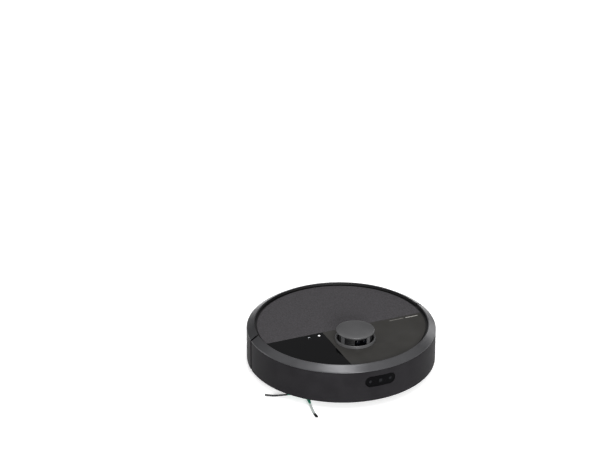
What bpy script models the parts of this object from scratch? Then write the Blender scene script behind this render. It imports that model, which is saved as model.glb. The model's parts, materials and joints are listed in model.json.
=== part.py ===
"""Robot vacuum cleaner with a laser turret, a side brush and two spinning mop pads.

Metres, Z up. The origin is on the disc's axis at the floor, and the front is towards -Y.
"Left" is the machine's own left, which is +X, and "right" is -X.
"""
import math

import bmesh
import bpy
from mathutils import Matrix, Vector

# ---------------------------------------------------------------- driving dimensions
GAP = 0.0003                    # between two pieces that touch
ROUND_STEPS = 64                # facets round the body
SMALL_STEPS = 20                # facets round small turned pieces

BODY_RADIUS = 0.175
GROUND_CLEARANCE = 0.013
WALL_HEIGHT = 0.0618            # upright side wall, from the clearance to the slanted rim
RIM_WIDTH = 0.0148              # slanted rim, seen from above
RIM_RISE = 0.0087
RIM_SKIN = 0.0018
SHELL = 0.0025                  # side wall thickness
SPLIT_Y = 0.0138                # the gap between the bumper and the rear shell
SPLIT_GAP = 0.005
SPLIT_LEFT = 0.0025             # of that gap, left when the bumper is pushed home
BUMPER_TRAVEL = SPLIT_GAP - SPLIT_LEFT
TRAVEL_ROOM = 0.001             # room left when the bumper is pushed home

PLATE = 0.003                   # floor of the lower chassis
CHASSIS_WALL = 0.0025
CHASSIS_INSET = 0.0125          # from the body's outside to the chassis wall's outside
DECK_INSET = 0.0192             # from the body's outside to the edge of the top plates
DECK_DROP = 0.005               # top plates below the rim's top
DECK_PLATE = 0.0025
MID_PLATE = 0.0022
LID_EDGE_Y = -0.0144            # seam between the lid and the front plates
PANEL_EDGE_X = -0.0445          # seam between the gloss panel and the fascia

TURRET_Y = -0.0627
TURRET_RISE = 0.0215            # cap edge above the top plates
CAP_EDGE = 0.003
CAP_CROWN = 0.0022
CAP_INSET = 0.0019              # from the ring's outside to the cap's
HEAD_RADIUS = 0.0300
HEAD_ROOM = 0.0018              # between the spinning head and the posts round it
POST_COUNT = 4
POST_WIDTH = 0.0075
POST_THICKNESS = 0.0016
POST_TURN = 22.0                # degrees from +X to the first post
POST_ROOM = 0.0004              # between the posts and the ring round them
RING_WALL = 0.0035
RING_RISE = 0.0058
RING_STEP = 0.0010              # the ring rests on the fascia by this much
LIDAR_PLATE_RADIUS = 0.040
LIDAR_PLATE = 0.003
PULLEY_RADIUS = 0.0217
MOTOR_PULLEY_RADIUS = 0.005
MOTOR_PULLEY_X = -0.036
BELT_THICKNESS = 0.001

BUTTON_RADIUS = 0.0046
POWER_BUTTON = (-0.0547, -0.0238)
HOME_BUTTON = (-0.0748, -0.0237)
BUTTON_TRAVEL = 0.0008

WINDOW_WIDTH = 0.059
WINDOW_HEIGHT = 0.0216
WINDOW_Z = 0.0521
WINDOW_RECESS = 0.0012

WHEEL_RADIUS = 0.035
WHEEL_WIDTH = 0.022
WHEEL_X = 0.115
TYRE_THICKNESS = 0.0057
ARM_THICKNESS = 0.009
ARM_ROOM = 0.0045               # between the arm and the wheel beside it
ARM_PIVOT_Y = -0.050
ARM_SLOT_START = 0.0200         # from the arm's pivot to the slot that it drops through
TRUNNION_RADIUS = 0.003
ARM_PIVOT_END = 0.0070          # radius of the arm's end at its pivot
ARM_WHEEL_END = 0.0100
ARM_MOTOR_RADIUS = 0.0135
ARM_MOTOR_REACH = 0.003         # the motor goes this far past the wheel's middle
EAR_HALF = 0.006                # ears that hold the arm's pivot
EAR_WALL = 0.0035
TYRE_ROOM = 0.003               # between the tyre and its hole in the pan
TYRE_SWING = 0.009              # the same, on the side that the arm swings the wheel towards

BRUSH_Y = -0.035
BRUSH_RADIUS = 0.019
BRUSH_LENGTH = 0.158
BRUSH_LIFT = 0.0005             # fin tips above the floor
BRUSH_CORE_RADIUS = 0.0095
FIN_COUNT = 7
FIN_THICKNESS = 0.0022
TUNNEL_WALL = 0.0024
TUNNEL_ROOF = 0.0025
TUNNEL_END = 0.004
DUCT_HALF_WIDTH = 0.030
DUCT_WALL = 0.002
BRUSH_ROOM = 0.0025             # between the fins and their tunnel
AXLE_RADIUS = 0.003

CASTER_RADIUS = 0.011
CASTER_WIDTH = 0.014
CASTER_TRAIL = 0.008
CASTER_WELL_RADIUS = 0.021
CASTER_STEM = 0.004
CASTER_BOSS = 0.009
CASTER_PIN = 0.0018

SIDE_BRUSH_ANGLE = 48.85        # degrees from the front towards the machine's right
SIDE_BRUSH_INSET = 0.0276       # from the body's outside to the side brush's axis
SIDE_BRUSH_REACH = 0.076
SIDE_ARM_REACH = 0.040
SIDE_ARM_ANGLES = (157.0, 257.5, 26.0)
SIDE_HUB_RADIUS = 0.0125
SIDE_SHAFT_RADIUS = 0.003
SIDE_ARM_ROOT = 0.0048          # half the arm's width at the hub
SIDE_ARM_TIP = 0.0022
TUFT_RADIUS = 0.0017
TUFT_BENDS = (3.8, -3.5, 5.0)    # degrees that each tuft is bent back at its tip

MOP_PAD_RADIUS = 0.055
MOP_PAD_THICKNESS = 0.0062
MOP_SPACE = 0.008               # between the two pads
MOP_DISC_INSET = 0.005          # from the pad's edge to its plate's edge
MOP_ROOM = 0.0025               # between a pad and its well

BIN_HALF_WIDTH = 0.064
BIN_FRONT_Y = 0.010
BIN_DEPTH = 0.054
BIN_BOTTOM = 0.031
BIN_WALL = 0.0018
BIN_FLAP = 0.0025
BIN_INLET = (0.0025, 0.0105)    # suction inlet, above the bin's underside
HANDLE_THICKNESS = 0.0025

FAN_CENTRE = (-0.106, 0.066)
FAN_RADIUS = 0.026
FAN_HEIGHT = 0.030
BATTERY_HALF_WIDTH = 0.070
BATTERY_DEPTH = 0.038
BATTERY_HEIGHT = 0.030
CONTACT_PITCH = 0.115
CLIFF_WINDOW = (0.018, 0.008)
CLIFF_ANGLE = 27.0              # degrees either side of the front
LEG_RADIUS = 0.0045
STEM_RADIUS = 0.0018            # stems below the buttons
STEM_ROOM = 0.0004

# ---------------------------------------------------------------- sizes that follow
WALL_TOP = GROUND_CLEARANCE + WALL_HEIGHT
RIM_TOP = WALL_TOP + RIM_RISE
RIM_INNER = BODY_RADIUS - RIM_WIDTH
PLATE_TOP = GROUND_CLEARANCE + PLATE
PAN_RADIUS = BODY_RADIUS - SHELL - BUMPER_TRAVEL - TRAVEL_ROOM
CHASSIS_RADIUS = BODY_RADIUS - CHASSIS_INSET
CHASSIS_INNER = CHASSIS_RADIUS - CHASSIS_WALL
DECK_RADIUS = BODY_RADIUS - DECK_INSET
DECK_TOP = RIM_TOP - DECK_DROP
DECK_UNDER = DECK_TOP - DECK_PLATE
MID_TOP = DECK_UNDER - GAP
MID_UNDER = MID_TOP - MID_PLATE
MID_RADIUS = CHASSIS_RADIUS + 0.0025
FRONT_OF_SPLIT = SPLIT_Y - SPLIT_GAP / 2
REAR_OF_SPLIT = SPLIT_Y + SPLIT_GAP / 2
TURRET_EDGE_TOP = DECK_TOP + TURRET_RISE
TURRET_EDGE_UNDER = TURRET_EDGE_TOP - CAP_EDGE
HEAD_TOP = TURRET_EDGE_UNDER - 0.0015
POST_INNER = HEAD_RADIUS + HEAD_ROOM
POST_OUTER = POST_INNER + POST_THICKNESS
RING_INNER = POST_OUTER + POST_ROOM
RING_RADIUS = RING_INNER + RING_WALL
TURRET_RADIUS = RING_RADIUS - CAP_INSET
HEAD_UNDER = MID_TOP + 0.0009
LIDAR_PLATE_TOP = MID_UNDER - 0.0120
MOP_X = MOP_PAD_RADIUS + MOP_SPACE / 2
MOP_DISC_RADIUS = MOP_PAD_RADIUS - MOP_DISC_INSET
MOP_WELL_RADIUS = MOP_PAD_RADIUS + MOP_ROOM
MOP_Y = math.sqrt((CHASSIS_INNER - MOP_WELL_RADIUS - 0.001) ** 2 - MOP_X ** 2)
CASTER_Y = -(CHASSIS_INNER - CASTER_WELL_RADIUS - 0.003)
SIDE_BRUSH_RADIUS = BODY_RADIUS - SIDE_BRUSH_INSET
SIDE_BRUSH = (
    -SIDE_BRUSH_RADIUS * math.sin(math.radians(SIDE_BRUSH_ANGLE)),
    -SIDE_BRUSH_RADIUS * math.cos(math.radians(SIDE_BRUSH_ANGLE)),
)
ARM_OUTER = WHEEL_X - WHEEL_WIDTH / 2 - ARM_ROOM
ARM_INNER = ARM_OUTER - ARM_THICKNESS
BRUSH_Z = BRUSH_RADIUS + BRUSH_LIFT
TUNNEL_RADIUS = BRUSH_RADIUS + BRUSH_ROOM
BRUSH_WELL_X = BRUSH_LENGTH / 2 + 0.001
BIN_REAR_Y = BIN_FRONT_Y + BIN_DEPTH
BIN_FLAP_TOP = DECK_UNDER - HANDLE_THICKNESS - 0.0017
BIN_TUB_TOP = BIN_FLAP_TOP - BIN_FLAP - GAP
CASTER_SOCKET_RADIUS = CASTER_WELL_RADIUS + 0.003
BATTERY_FRONT_Y = CASTER_Y + CASTER_SOCKET_RADIUS + 0.004
BATTERY_REAR_Y = BATTERY_FRONT_Y + BATTERY_DEPTH
LEGS = [
    (side * (CHASSIS_INNER - 0.0065) * math.sin(angle), -(CHASSIS_INNER - 0.0065) * math.cos(angle))
    for angle in (math.radians(13.5), math.radians(63.0), math.radians(115.5))
    for side in (1, -1)
]

# ---------------------------------------------------------------- helpers


def clear_scene():
    """Remove what the scene holds."""
    for old in list(bpy.data.objects):
        bpy.data.objects.remove(old, do_unlink=True)


def new_collection(name):
    """Return a new collection linked to the scene."""
    collection = bpy.data.collections.new(name)
    bpy.context.scene.collection.children.link(collection)
    return collection


clear_scene()
PARTS = new_collection("robot_vacuum")
CUTTERS = new_collection("cutters")


def add_mesh(name, bm, collection):
    """Turn a bmesh into an object."""
    mesh = bpy.data.meshes.new(name)
    bm.to_mesh(mesh)
    bm.free()
    made = bpy.data.objects.new(name, mesh)
    collection.objects.link(made)
    if collection is CUTTERS:
        made.hide_render = True
        made.display_type = "WIRE"
    return made


def block(name, x, y, z, collection=PARTS):
    """Box between the two limits given on each axis."""
    bm = bmesh.new()
    bmesh.ops.create_cube(bm, size=1.0)
    size = Vector((abs(x[1] - x[0]), abs(y[1] - y[0]), abs(z[1] - z[0])))
    middle = Vector((sum(x) / 2, sum(y) / 2, sum(z) / 2))
    bmesh.ops.scale(bm, vec=size, verts=bm.verts)
    bmesh.ops.translate(bm, vec=middle, verts=bm.verts)
    return add_mesh(name, bm, collection)


def turned(name, profile, centre=(0.0, 0.0), steps=SMALL_STEPS, collection=PARTS):
    """Turn a profile of (radius, height) points about an upright axis.

    The profile runs down its outer side. It is closed into a ring unless both ends lie
    on the axis.
    """
    bm = bmesh.new()
    points = [bm.verts.new((radius, 0.0, height)) for radius, height in profile]
    for first, second in zip(points, points[1:]):
        bm.edges.new((first, second))
    if profile[0][0] > 0 or profile[-1][0] > 0:
        bm.edges.new((points[-1], points[0]))
    made = add_mesh(name, bm, collection)
    made.location = (centre[0], centre[1], 0.0)
    screw = made.modifiers.new("turn", "SCREW")
    screw.axis = "Z"
    screw.angle = math.tau
    screw.screw_offset = 0.0
    screw.steps = steps
    screw.render_steps = steps
    screw.use_merge_vertices = True
    screw.merge_threshold = 0.00001
    screw.use_smooth_shade = True
    return made


def rod(name, radius, z, centre=(0.0, 0.0), steps=SMALL_STEPS, collection=PARTS):
    """Upright cylinder between two heights."""
    bm = bmesh.new()
    depth = z[1] - z[0]
    bmesh.ops.create_cone(bm, cap_ends=True, segments=steps, radius1=radius, radius2=radius, depth=depth)
    bmesh.ops.translate(bm, vec=(centre[0], centre[1], (z[0] + z[1]) / 2), verts=bm.verts)
    return add_mesh(name, bm, collection)


def cross_rod(name, radius, x, y, z, steps=SMALL_STEPS, collection=PARTS):
    """Cylinder along X, between two places on X."""
    bm = bmesh.new()
    depth = x[1] - x[0]
    bmesh.ops.create_cone(bm, cap_ends=True, segments=steps, radius1=radius, radius2=radius, depth=depth)
    bmesh.ops.rotate(bm, cent=(0, 0, 0), matrix=Matrix.Rotation(math.pi / 2, 3, "Y"), verts=bm.verts)
    bmesh.ops.translate(bm, vec=((x[0] + x[1]) / 2, y, z), verts=bm.verts)
    return add_mesh(name, bm, collection)


def slab(name, outlines, z, collection=PARTS):
    """Flat plate between two heights. The first outline is its edge, the others are holes."""
    curve = bpy.data.curves.new(name, "CURVE")
    curve.dimensions = "2D"
    curve.fill_mode = "BOTH"
    curve.extrude = (z[1] - z[0]) / 2
    for outline in outlines:
        spline = curve.splines.new("POLY")
        spline.points.add(len(outline) - 1)
        for point, (across, along) in zip(spline.points, outline):
            point.co = (across, along, 0.0, 1.0)
        spline.use_cyclic_u = True
    guide = bpy.data.objects.new(name + "_curve", curve)
    collection.objects.link(guide)
    guide.location.z = (z[0] + z[1]) / 2
    return curve_to_mesh(name, guide, collection)


def curve_to_mesh(name, guide, collection):
    """Replace a curve object with the closed mesh that it makes, in world space."""
    bpy.context.view_layer.update()
    evaluated = guide.evaluated_get(bpy.context.evaluated_depsgraph_get())
    mesh = bpy.data.meshes.new_from_object(evaluated)
    bm = bmesh.new()
    bm.from_mesh(mesh)
    bm.transform(guide.matrix_world)
    bmesh.ops.remove_doubles(bm, verts=bm.verts, dist=0.00001)
    bpy.data.meshes.remove(mesh)
    bpy.data.objects.remove(guide, do_unlink=True)
    return add_mesh(name, bm, collection)


def across(made):
    """Stand a plate drawn in (Y, Z) with its thickness along X."""
    made.data.transform(Matrix(((0, 0, 1, 0), (1, 0, 0, 0), (0, 1, 0, 0), (0, 0, 0, 1))))
    return made


def arc(centre, radius, start, end, count):
    """Points along an arc, in degrees, both ends included."""
    angles = [math.radians(start + (end - start) * i / count) for i in range(count + 1)]
    return [(centre[0] + radius * math.cos(a), centre[1] + radius * math.sin(a)) for a in angles]


def capsule(first, second, radius_first, radius_second, count=10):
    """Outline of two circles joined by their outer tangents."""
    direction = math.degrees(math.atan2(second[1] - first[1], second[0] - first[0]))
    distance = math.dist(first, second)
    lean = math.degrees(math.acos((radius_first - radius_second) / distance))
    near = arc(first, radius_first, direction + lean, direction + 360 - lean, count)
    far = arc(second, radius_second, direction - lean, direction + lean, count)
    return near + far


def rounded_box(x, y, radius, count=4):
    """Outline of a rectangle with round corners."""
    corners = ((x[1], y[1], 0), (x[0], y[1], 90), (x[0], y[0], 180), (x[1], y[0], 270))
    outline = []
    for corner_x, corner_y, start in corners:
        centre_x = corner_x - radius if corner_x == x[1] else corner_x + radius
        centre_y = corner_y - radius if corner_y == y[1] else corner_y + radius
        outline += arc((centre_x, centre_y), radius, start, start + 90, count)
    return outline


def combine(target, tool, operation):
    """Cut, join or keep the overlap with another mesh."""
    boolean = target.modifiers.new(operation.lower() + "_" + tool.name, "BOOLEAN")
    boolean.operation = operation
    boolean.solver = "EXACT"
    boolean.object = tool
    return target


def cut(target, *tools):
    """Cut each tool out of the target."""
    for tool in tools:
        combine(target, tool, "DIFFERENCE")
    return target


def join(target, *tools):
    """Join each tool to the target."""
    for tool in tools:
        combine(target, tool, "UNION")
    return target


def set_origin(made, pivot):
    """Put an object's origin on its joint's axis without moving the shape."""
    pivot = Vector(pivot)
    made.data.transform(Matrix.Translation(made.location - pivot))
    made.location = pivot
    return made


def finish(made, colour, roughness, metallic=0.0):
    """Give a piece a material of its own."""
    material = bpy.data.materials.new(made.name + "_finish")
    material.use_nodes = True
    shader = material.node_tree.nodes["Principled BSDF"]
    shader.inputs["Base Color"].default_value = (*colour, 1.0)
    shader.inputs["Roughness"].default_value = roughness
    shader.inputs["Metallic"].default_value = metallic
    made.data.materials.clear()
    made.data.materials.append(material)
    return made


CHARCOAL = (0.035, 0.034, 0.036)
SATIN = (0.050, 0.048, 0.049)
BLACK = (0.008, 0.008, 0.009)
STEEL = (0.60, 0.60, 0.62)

# ---------------------------------------------------------------- casing


def half_cutters():
    """Return the block that leaves the front half and the block that leaves the rear half."""
    reach = BODY_RADIUS * 1.2
    tall = (-0.01, RIM_TOP + 0.01)
    keep_front = block("behind_split", (-reach, reach), (FRONT_OF_SPLIT, reach), tall, CUTTERS)
    keep_rear = block("before_split", (-reach, reach), (-reach, REAR_OF_SPLIT), tall, CUTTERS)
    return keep_front, keep_rear


def rim(name):
    """Slanted rim: a thin skin with a lip down its inner edge and a foot on its outer edge."""
    lip_under = RIM_TOP - DECK_DROP - 0.0005
    foot = RIM_SKIN * 1.1
    profile = [
        (RIM_INNER, RIM_TOP),
        (RIM_INNER + 0.0012, RIM_TOP),
        (BODY_RADIUS - 0.0004, WALL_TOP + 0.0004),
        (BODY_RADIUS, WALL_TOP - 0.0002),
        (BODY_RADIUS, WALL_TOP - 0.0010),
        (BODY_RADIUS - foot, WALL_TOP - 0.0010),
        (RIM_INNER + RIM_SKIN + 0.0008, RIM_TOP - RIM_SKIN),
        (RIM_INNER + RIM_SKIN, lip_under),
        (RIM_INNER, lip_under),
    ]
    return turned(name, profile, steps=ROUND_STEPS)


def wall_inset(name, x, z, front, outer, thickness, round_ends=False):
    """Piece of the side wall's ring, as wide and high as the opening that it fills."""
    ring = [(outer, z[1] + 0.01), (outer, z[0] - 0.01),
            (outer - thickness, z[0] - 0.01), (outer - thickness, z[1] + 0.01)]
    made = turned(name, ring, steps=ROUND_STEPS)
    return combine(made, wall_hole(name + "_limit", x, z, front, round_ends), "INTERSECT")


def wall_hole(name, x, z, front, round_ends=False):
    """Tool that goes through the front or the rear side wall."""
    near = BODY_RADIUS * 0.8
    far = BODY_RADIUS * 1.1
    y = (-far, -near) if front else (near, far)
    radius = (z[1] - z[0]) / 2 if round_ends else 0.0012
    outline = rounded_box(x, z, radius, 6 if round_ends else 1)
    made = slab(name, [outline], y, CUTTERS)
    # drawn in (X, Z) with its thickness along Y
    made.data.transform(Matrix(((1, 0, 0, 0), (0, 0, 1, 0), (0, 1, 0, 0), (0, 0, 0, 1))))
    made.data.flip_normals()
    return made


def casing():
    """Side walls, rims and the pieces set into them."""
    keep_front, keep_rear = half_cutters()
    wall_under_rim = WALL_TOP - 0.0010 - GAP
    chamfer = 0.001

    bumper_profile = [
        (BODY_RADIUS, wall_under_rim),
        (BODY_RADIUS, GROUND_CLEARANCE + chamfer),
        (BODY_RADIUS - chamfer, GROUND_CLEARANCE),
        (BODY_RADIUS - SHELL, GROUND_CLEARANCE),
        (BODY_RADIUS - SHELL, wall_under_rim),
    ]
    bumper_wall = turned("bumper_wall", bumper_profile, steps=ROUND_STEPS)
    half_width = WINDOW_WIDTH / 2
    half_height = WINDOW_HEIGHT / 2
    window_x = (-half_width, half_width)
    window_z = (WINDOW_Z - half_height, WINDOW_Z + half_height)
    cut(bumper_wall, keep_front, wall_hole("window_hole", window_x, window_z, True, True))
    finish(bumper_wall, CHARCOAL, 0.45)

    bumper_rim = cut(rim("bumper_rim"), keep_front)
    finish(bumper_rim, SATIN, 0.35)

    inner_x = (-half_width + GAP, half_width - GAP)
    inner_z = (window_z[0] + GAP, window_z[1] - GAP)
    window = wall_inset("sensor_window", inner_x, inner_z, True, BODY_RADIUS - WINDOW_RECESS, SHELL, True)
    finish(window, BLACK, 0.06)

    flange_top = GROUND_CLEARANCE + 0.002
    rear_profile = [
        (BODY_RADIUS, wall_under_rim),
        (BODY_RADIUS, GROUND_CLEARANCE + chamfer),
        (BODY_RADIUS - chamfer, GROUND_CLEARANCE),
        (PAN_RADIUS + GAP, GROUND_CLEARANCE),
        (PAN_RADIUS + GAP, flange_top),
        (BODY_RADIUS - SHELL, flange_top),
        (BODY_RADIUS - SHELL, wall_under_rim),
    ]
    rear_wall = turned("rear_wall", rear_profile, steps=ROUND_STEPS)
    cut(rear_wall, keep_rear)
    finish(rear_wall, CHARCOAL, 0.45)
    rear_rim = cut(rim("rear_rim"), keep_rear)
    finish(rear_rim, SATIN, 0.35)

    contact_z = (GROUND_CLEARANCE + 0.010, GROUND_CLEARANCE + 0.018)
    for name, side in (("left", 1), ("right", -1)):
        middle = side * CONTACT_PITCH / 2
        hole_x = (middle - 0.010, middle + 0.010)
        strip_x = (hole_x[0] + GAP, hole_x[1] - GAP)
        strip_z = (contact_z[0] + GAP, contact_z[1] - GAP)
        cut(rear_wall, wall_hole("contact_hole_" + name, hole_x, contact_z, False))
        strip = wall_inset("dock_contact_" + name, strip_x, strip_z, False, BODY_RADIUS - 0.0004, SHELL)
        finish(strip, STEEL, 0.25, 1.0)

    rear_x = (-0.024, 0.024)
    rear_z = (WINDOW_Z - 0.006, WINDOW_Z + 0.006)
    cut(rear_wall, wall_hole("rear_window_hole", rear_x, rear_z, False, True))
    rear_window_x = (rear_x[0] + GAP, rear_x[1] - GAP)
    rear_window_z = (rear_z[0] + GAP, rear_z[1] - GAP)
    window = wall_inset("rear_window", rear_window_x, rear_window_z, False, BODY_RADIUS - 0.0008, SHELL, True)
    finish(window, BLACK, 0.08)

    slot_count = 5
    slot_pitch = 0.0052
    slot_start = rear_x[1] + 0.022
    for index in range(slot_count):
        slot_x = (slot_start + index * slot_pitch, slot_start + index * slot_pitch + 0.0026)
        slot_z = (WINDOW_Z - 0.010, WINDOW_Z + 0.010)
        mirrored = (-slot_x[1], -slot_x[0])
        cut(rear_wall, wall_hole(f"vent_left_{index}", slot_x, slot_z, False))
        cut(rear_wall, wall_hole(f"vent_right_{index}", mirrored, slot_z, False))


# ---------------------------------------------------------------- chassis


def chassis():
    """Lower pan, the wall round it and the middle frame that stands on its legs."""
    pan = turned("base_pan", [
        (0.0, PLATE_TOP), (PAN_RADIUS, PLATE_TOP), (PAN_RADIUS, GROUND_CLEARANCE), (0.0, GROUND_CLEARANCE),
    ], steps=ROUND_STEPS)
    wall_top = MID_UNDER - GAP
    wall_under = PLATE_TOP + GAP
    wall = turned("chassis_wall", [
        (CHASSIS_RADIUS, wall_top), (CHASSIS_RADIUS, wall_under),
        (CHASSIS_INNER, wall_under), (CHASSIS_INNER, wall_top),
    ], steps=ROUND_STEPS)
    sight = (-WINDOW_WIDTH / 2, WINDOW_WIDTH / 2)
    cut(wall, wall_hole("sight_hole", sight, (WINDOW_Z - 0.010, WINDOW_Z + 0.010), True))
    finish(wall, BLACK, 0.6)
    through = (GROUND_CLEARANCE - 0.01, PLATE_TOP + 0.005)
    half_well = TUNNEL_RADIUS + 0.0003
    cut(pan, block("brush_hole", (-BRUSH_WELL_X, BRUSH_WELL_X),
                   (BRUSH_Y - half_well, BRUSH_Y + half_well), through, CUTTERS))
    tyre_y = (-WHEEL_RADIUS - TYRE_SWING, WHEEL_RADIUS + TYRE_ROOM)
    arm_y = (ARM_PIVOT_Y + ARM_SLOT_START, 0.015)
    ear_z = (PLATE_TOP - 0.001, WHEEL_RADIUS + EAR_HALF)
    ear_y = (ARM_PIVOT_Y - EAR_HALF, ARM_PIVOT_Y + EAR_HALF)
    for name, side in (("left", 1), ("right", -1)):
        tyre_x = sorted((side * (ARM_OUTER + 0.0013), side * (WHEEL_X + WHEEL_WIDTH / 2 + TYRE_ROOM)))
        arm_x = sorted((side * (ARM_INNER - 0.001), side * (ARM_OUTER + 0.002)))
        cut(pan, block("tyre_hole_" + name, tyre_x, tyre_y, through, CUTTERS))
        cut(pan, block("arm_hole_" + name, arm_x, arm_y, through, CUTTERS))
        inner_ear = sorted((side * (ARM_INNER - GAP), side * (ARM_INNER - EAR_WALL)))
        outer_ear = sorted((side * (ARM_OUTER + GAP), side * (ARM_OUTER + EAR_WALL)))
        join(pan, block("inner_ear_" + name, inner_ear, ear_y, ear_z, CUTTERS))
        join(pan, block("outer_ear_" + name, outer_ear, ear_y, ear_z, CUTTERS))
        bore_x = sorted((side * (ARM_INNER - 0.006), side * (ARM_OUTER + 0.006)))
        bore = cross_rod("ear_bore_" + name, TRUNNION_RADIUS + GAP, bore_x, ARM_PIVOT_Y, WHEEL_RADIUS,
                         16, CUTTERS)
        cut(pan, bore)
        cut(pan, rod("mop_hole_" + name, MOP_WELL_RADIUS, through, (side * MOP_X, MOP_Y), 36, CUTTERS))
    cut(pan, rod("caster_hole", CASTER_WELL_RADIUS, through, (0.0, CASTER_Y), SMALL_STEPS, CUTTERS))
    cut(pan, rod("side_brush_hole", 0.0045, through, SIDE_BRUSH, 16, CUTTERS))
    cut(pan, block("battery_hole", (-BATTERY_HALF_WIDTH - 0.002, BATTERY_HALF_WIDTH + 0.002),
                   (BATTERY_FRONT_Y - 0.001, BATTERY_REAR_Y + 0.001), through, CUTTERS))
    for index, (x, y) in enumerate(cliff_places(), 1):
        half_x, half_y = CLIFF_WINDOW[0] / 2, CLIFF_WINDOW[1] / 2
        cut(pan, block(f"cliff_hole_{index}", (x - half_x, x + half_x), (y - half_y, y + half_y),
                       through, CUTTERS))
        window = block(f"cliff_window_{index}", (x - half_x + GAP, x + half_x - GAP),
                       (y - half_y + GAP, y + half_y - GAP), (GROUND_CLEARANCE + 0.0002, PLATE_TOP - 0.0005))
        finish(window, BLACK, 0.08)
    finish(pan, CHARCOAL, 0.5)

    frame = turned("mid_frame", [
        (0.0, MID_TOP), (MID_RADIUS, MID_TOP), (MID_RADIUS, MID_UNDER), (0.0, MID_UNDER),
    ], steps=ROUND_STEPS)
    plate = (MID_UNDER - 0.002, MID_TOP + 0.002)
    room = 0.0015
    bin_hole = rounded_box((-BIN_HALF_WIDTH - room, BIN_HALF_WIDTH + room),
                           (BIN_FRONT_Y - room, BIN_REAR_Y + room), 0.006)
    cut(frame, slab("bin_hole", [bin_hole], plate, CUTTERS))
    cut(frame, rod("turret_hole", HEAD_RADIUS + 0.0012, plate, (0.0, TURRET_Y), SMALL_STEPS, CUTTERS))
    for name, place in (("power", POWER_BUTTON), ("home", HOME_BUTTON)):
        cut(frame, rod(name + "_stem_hole", STEM_RADIUS + STEM_ROOM, plate, place, 16, CUTTERS))
    for index, place in enumerate(LEGS):
        join(frame, rod(f"leg_{index}", LEG_RADIUS, (PLATE_TOP + GAP, MID_UNDER + 0.001), place, 12, CUTTERS))
    finish(frame, BLACK, 0.6)


def cliff_places():
    """Centres of the two front floor sensors' windows."""
    ring = CHASSIS_INNER - CLIFF_WINDOW[0] / 2 - 0.005
    turn = math.radians(CLIFF_ANGLE)
    return [(side * ring * math.sin(turn), -ring * math.cos(turn)) for side in (1, -1)]


# ---------------------------------------------------------------- top plates


def top_plates():
    """Front fascia, gloss control panel, rear lid and the two buttons."""
    deck = [(0.0, DECK_TOP), (DECK_RADIUS - 0.0006, DECK_TOP), (DECK_RADIUS, DECK_TOP - 0.0006),
            (DECK_RADIUS, DECK_UNDER), (0.0, DECK_UNDER)]
    reach = BODY_RADIUS
    tall = (DECK_UNDER - 0.005, DECK_TOP + 0.005)
    half = GAP / 2
    behind_seam = block("behind_seam", (-reach, reach), (LID_EDGE_Y - half, reach), tall, CUTTERS)
    before_seam = block("before_seam", (-reach, reach), (-reach, LID_EDGE_Y + half), tall, CUTTERS)
    left_of_seam = block("left_of_seam", (PANEL_EDGE_X - half, reach), (-reach, reach), tall, CUTTERS)
    right_of_seam = block("right_of_seam", (-reach, PANEL_EDGE_X + half), (-reach, reach), tall, CUTTERS)

    fascia = cut(turned("front_fascia", deck, steps=ROUND_STEPS), behind_seam, right_of_seam)
    ring_hole = RING_RADIUS - RING_STEP + GAP
    cut(fascia, rod("ring_hole", ring_hole, tall, (0.0, TURRET_Y), 36, CUTTERS))
    finish(fascia, SATIN, 0.42)

    panel = cut(turned("control_panel", deck, steps=ROUND_STEPS), behind_seam, left_of_seam)
    for name, place in (("power", POWER_BUTTON), ("home", HOME_BUTTON)):
        cut(panel, rod(name + "_hole", BUTTON_RADIUS + GAP, tall, place, SMALL_STEPS, CUTTERS))
        stem_end = MID_UNDER - 0.001
        cap_under = MID_TOP + BUTTON_TRAVEL + 0.0006
        button = turned(name + "_button", [
            (0.0, DECK_TOP), (BUTTON_RADIUS, DECK_TOP), (BUTTON_RADIUS, cap_under),
            (STEM_RADIUS, cap_under), (STEM_RADIUS, stem_end), (0.0, stem_end),
        ], place, 16)
        finish(button, BLACK, 0.1)
    finish(panel, BLACK, 0.05)

    lid = cut(turned("lid_cover", deck, steps=ROUND_STEPS), before_seam)
    finish(lid, SATIN, 0.6)


# ---------------------------------------------------------------- laser turret


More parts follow.
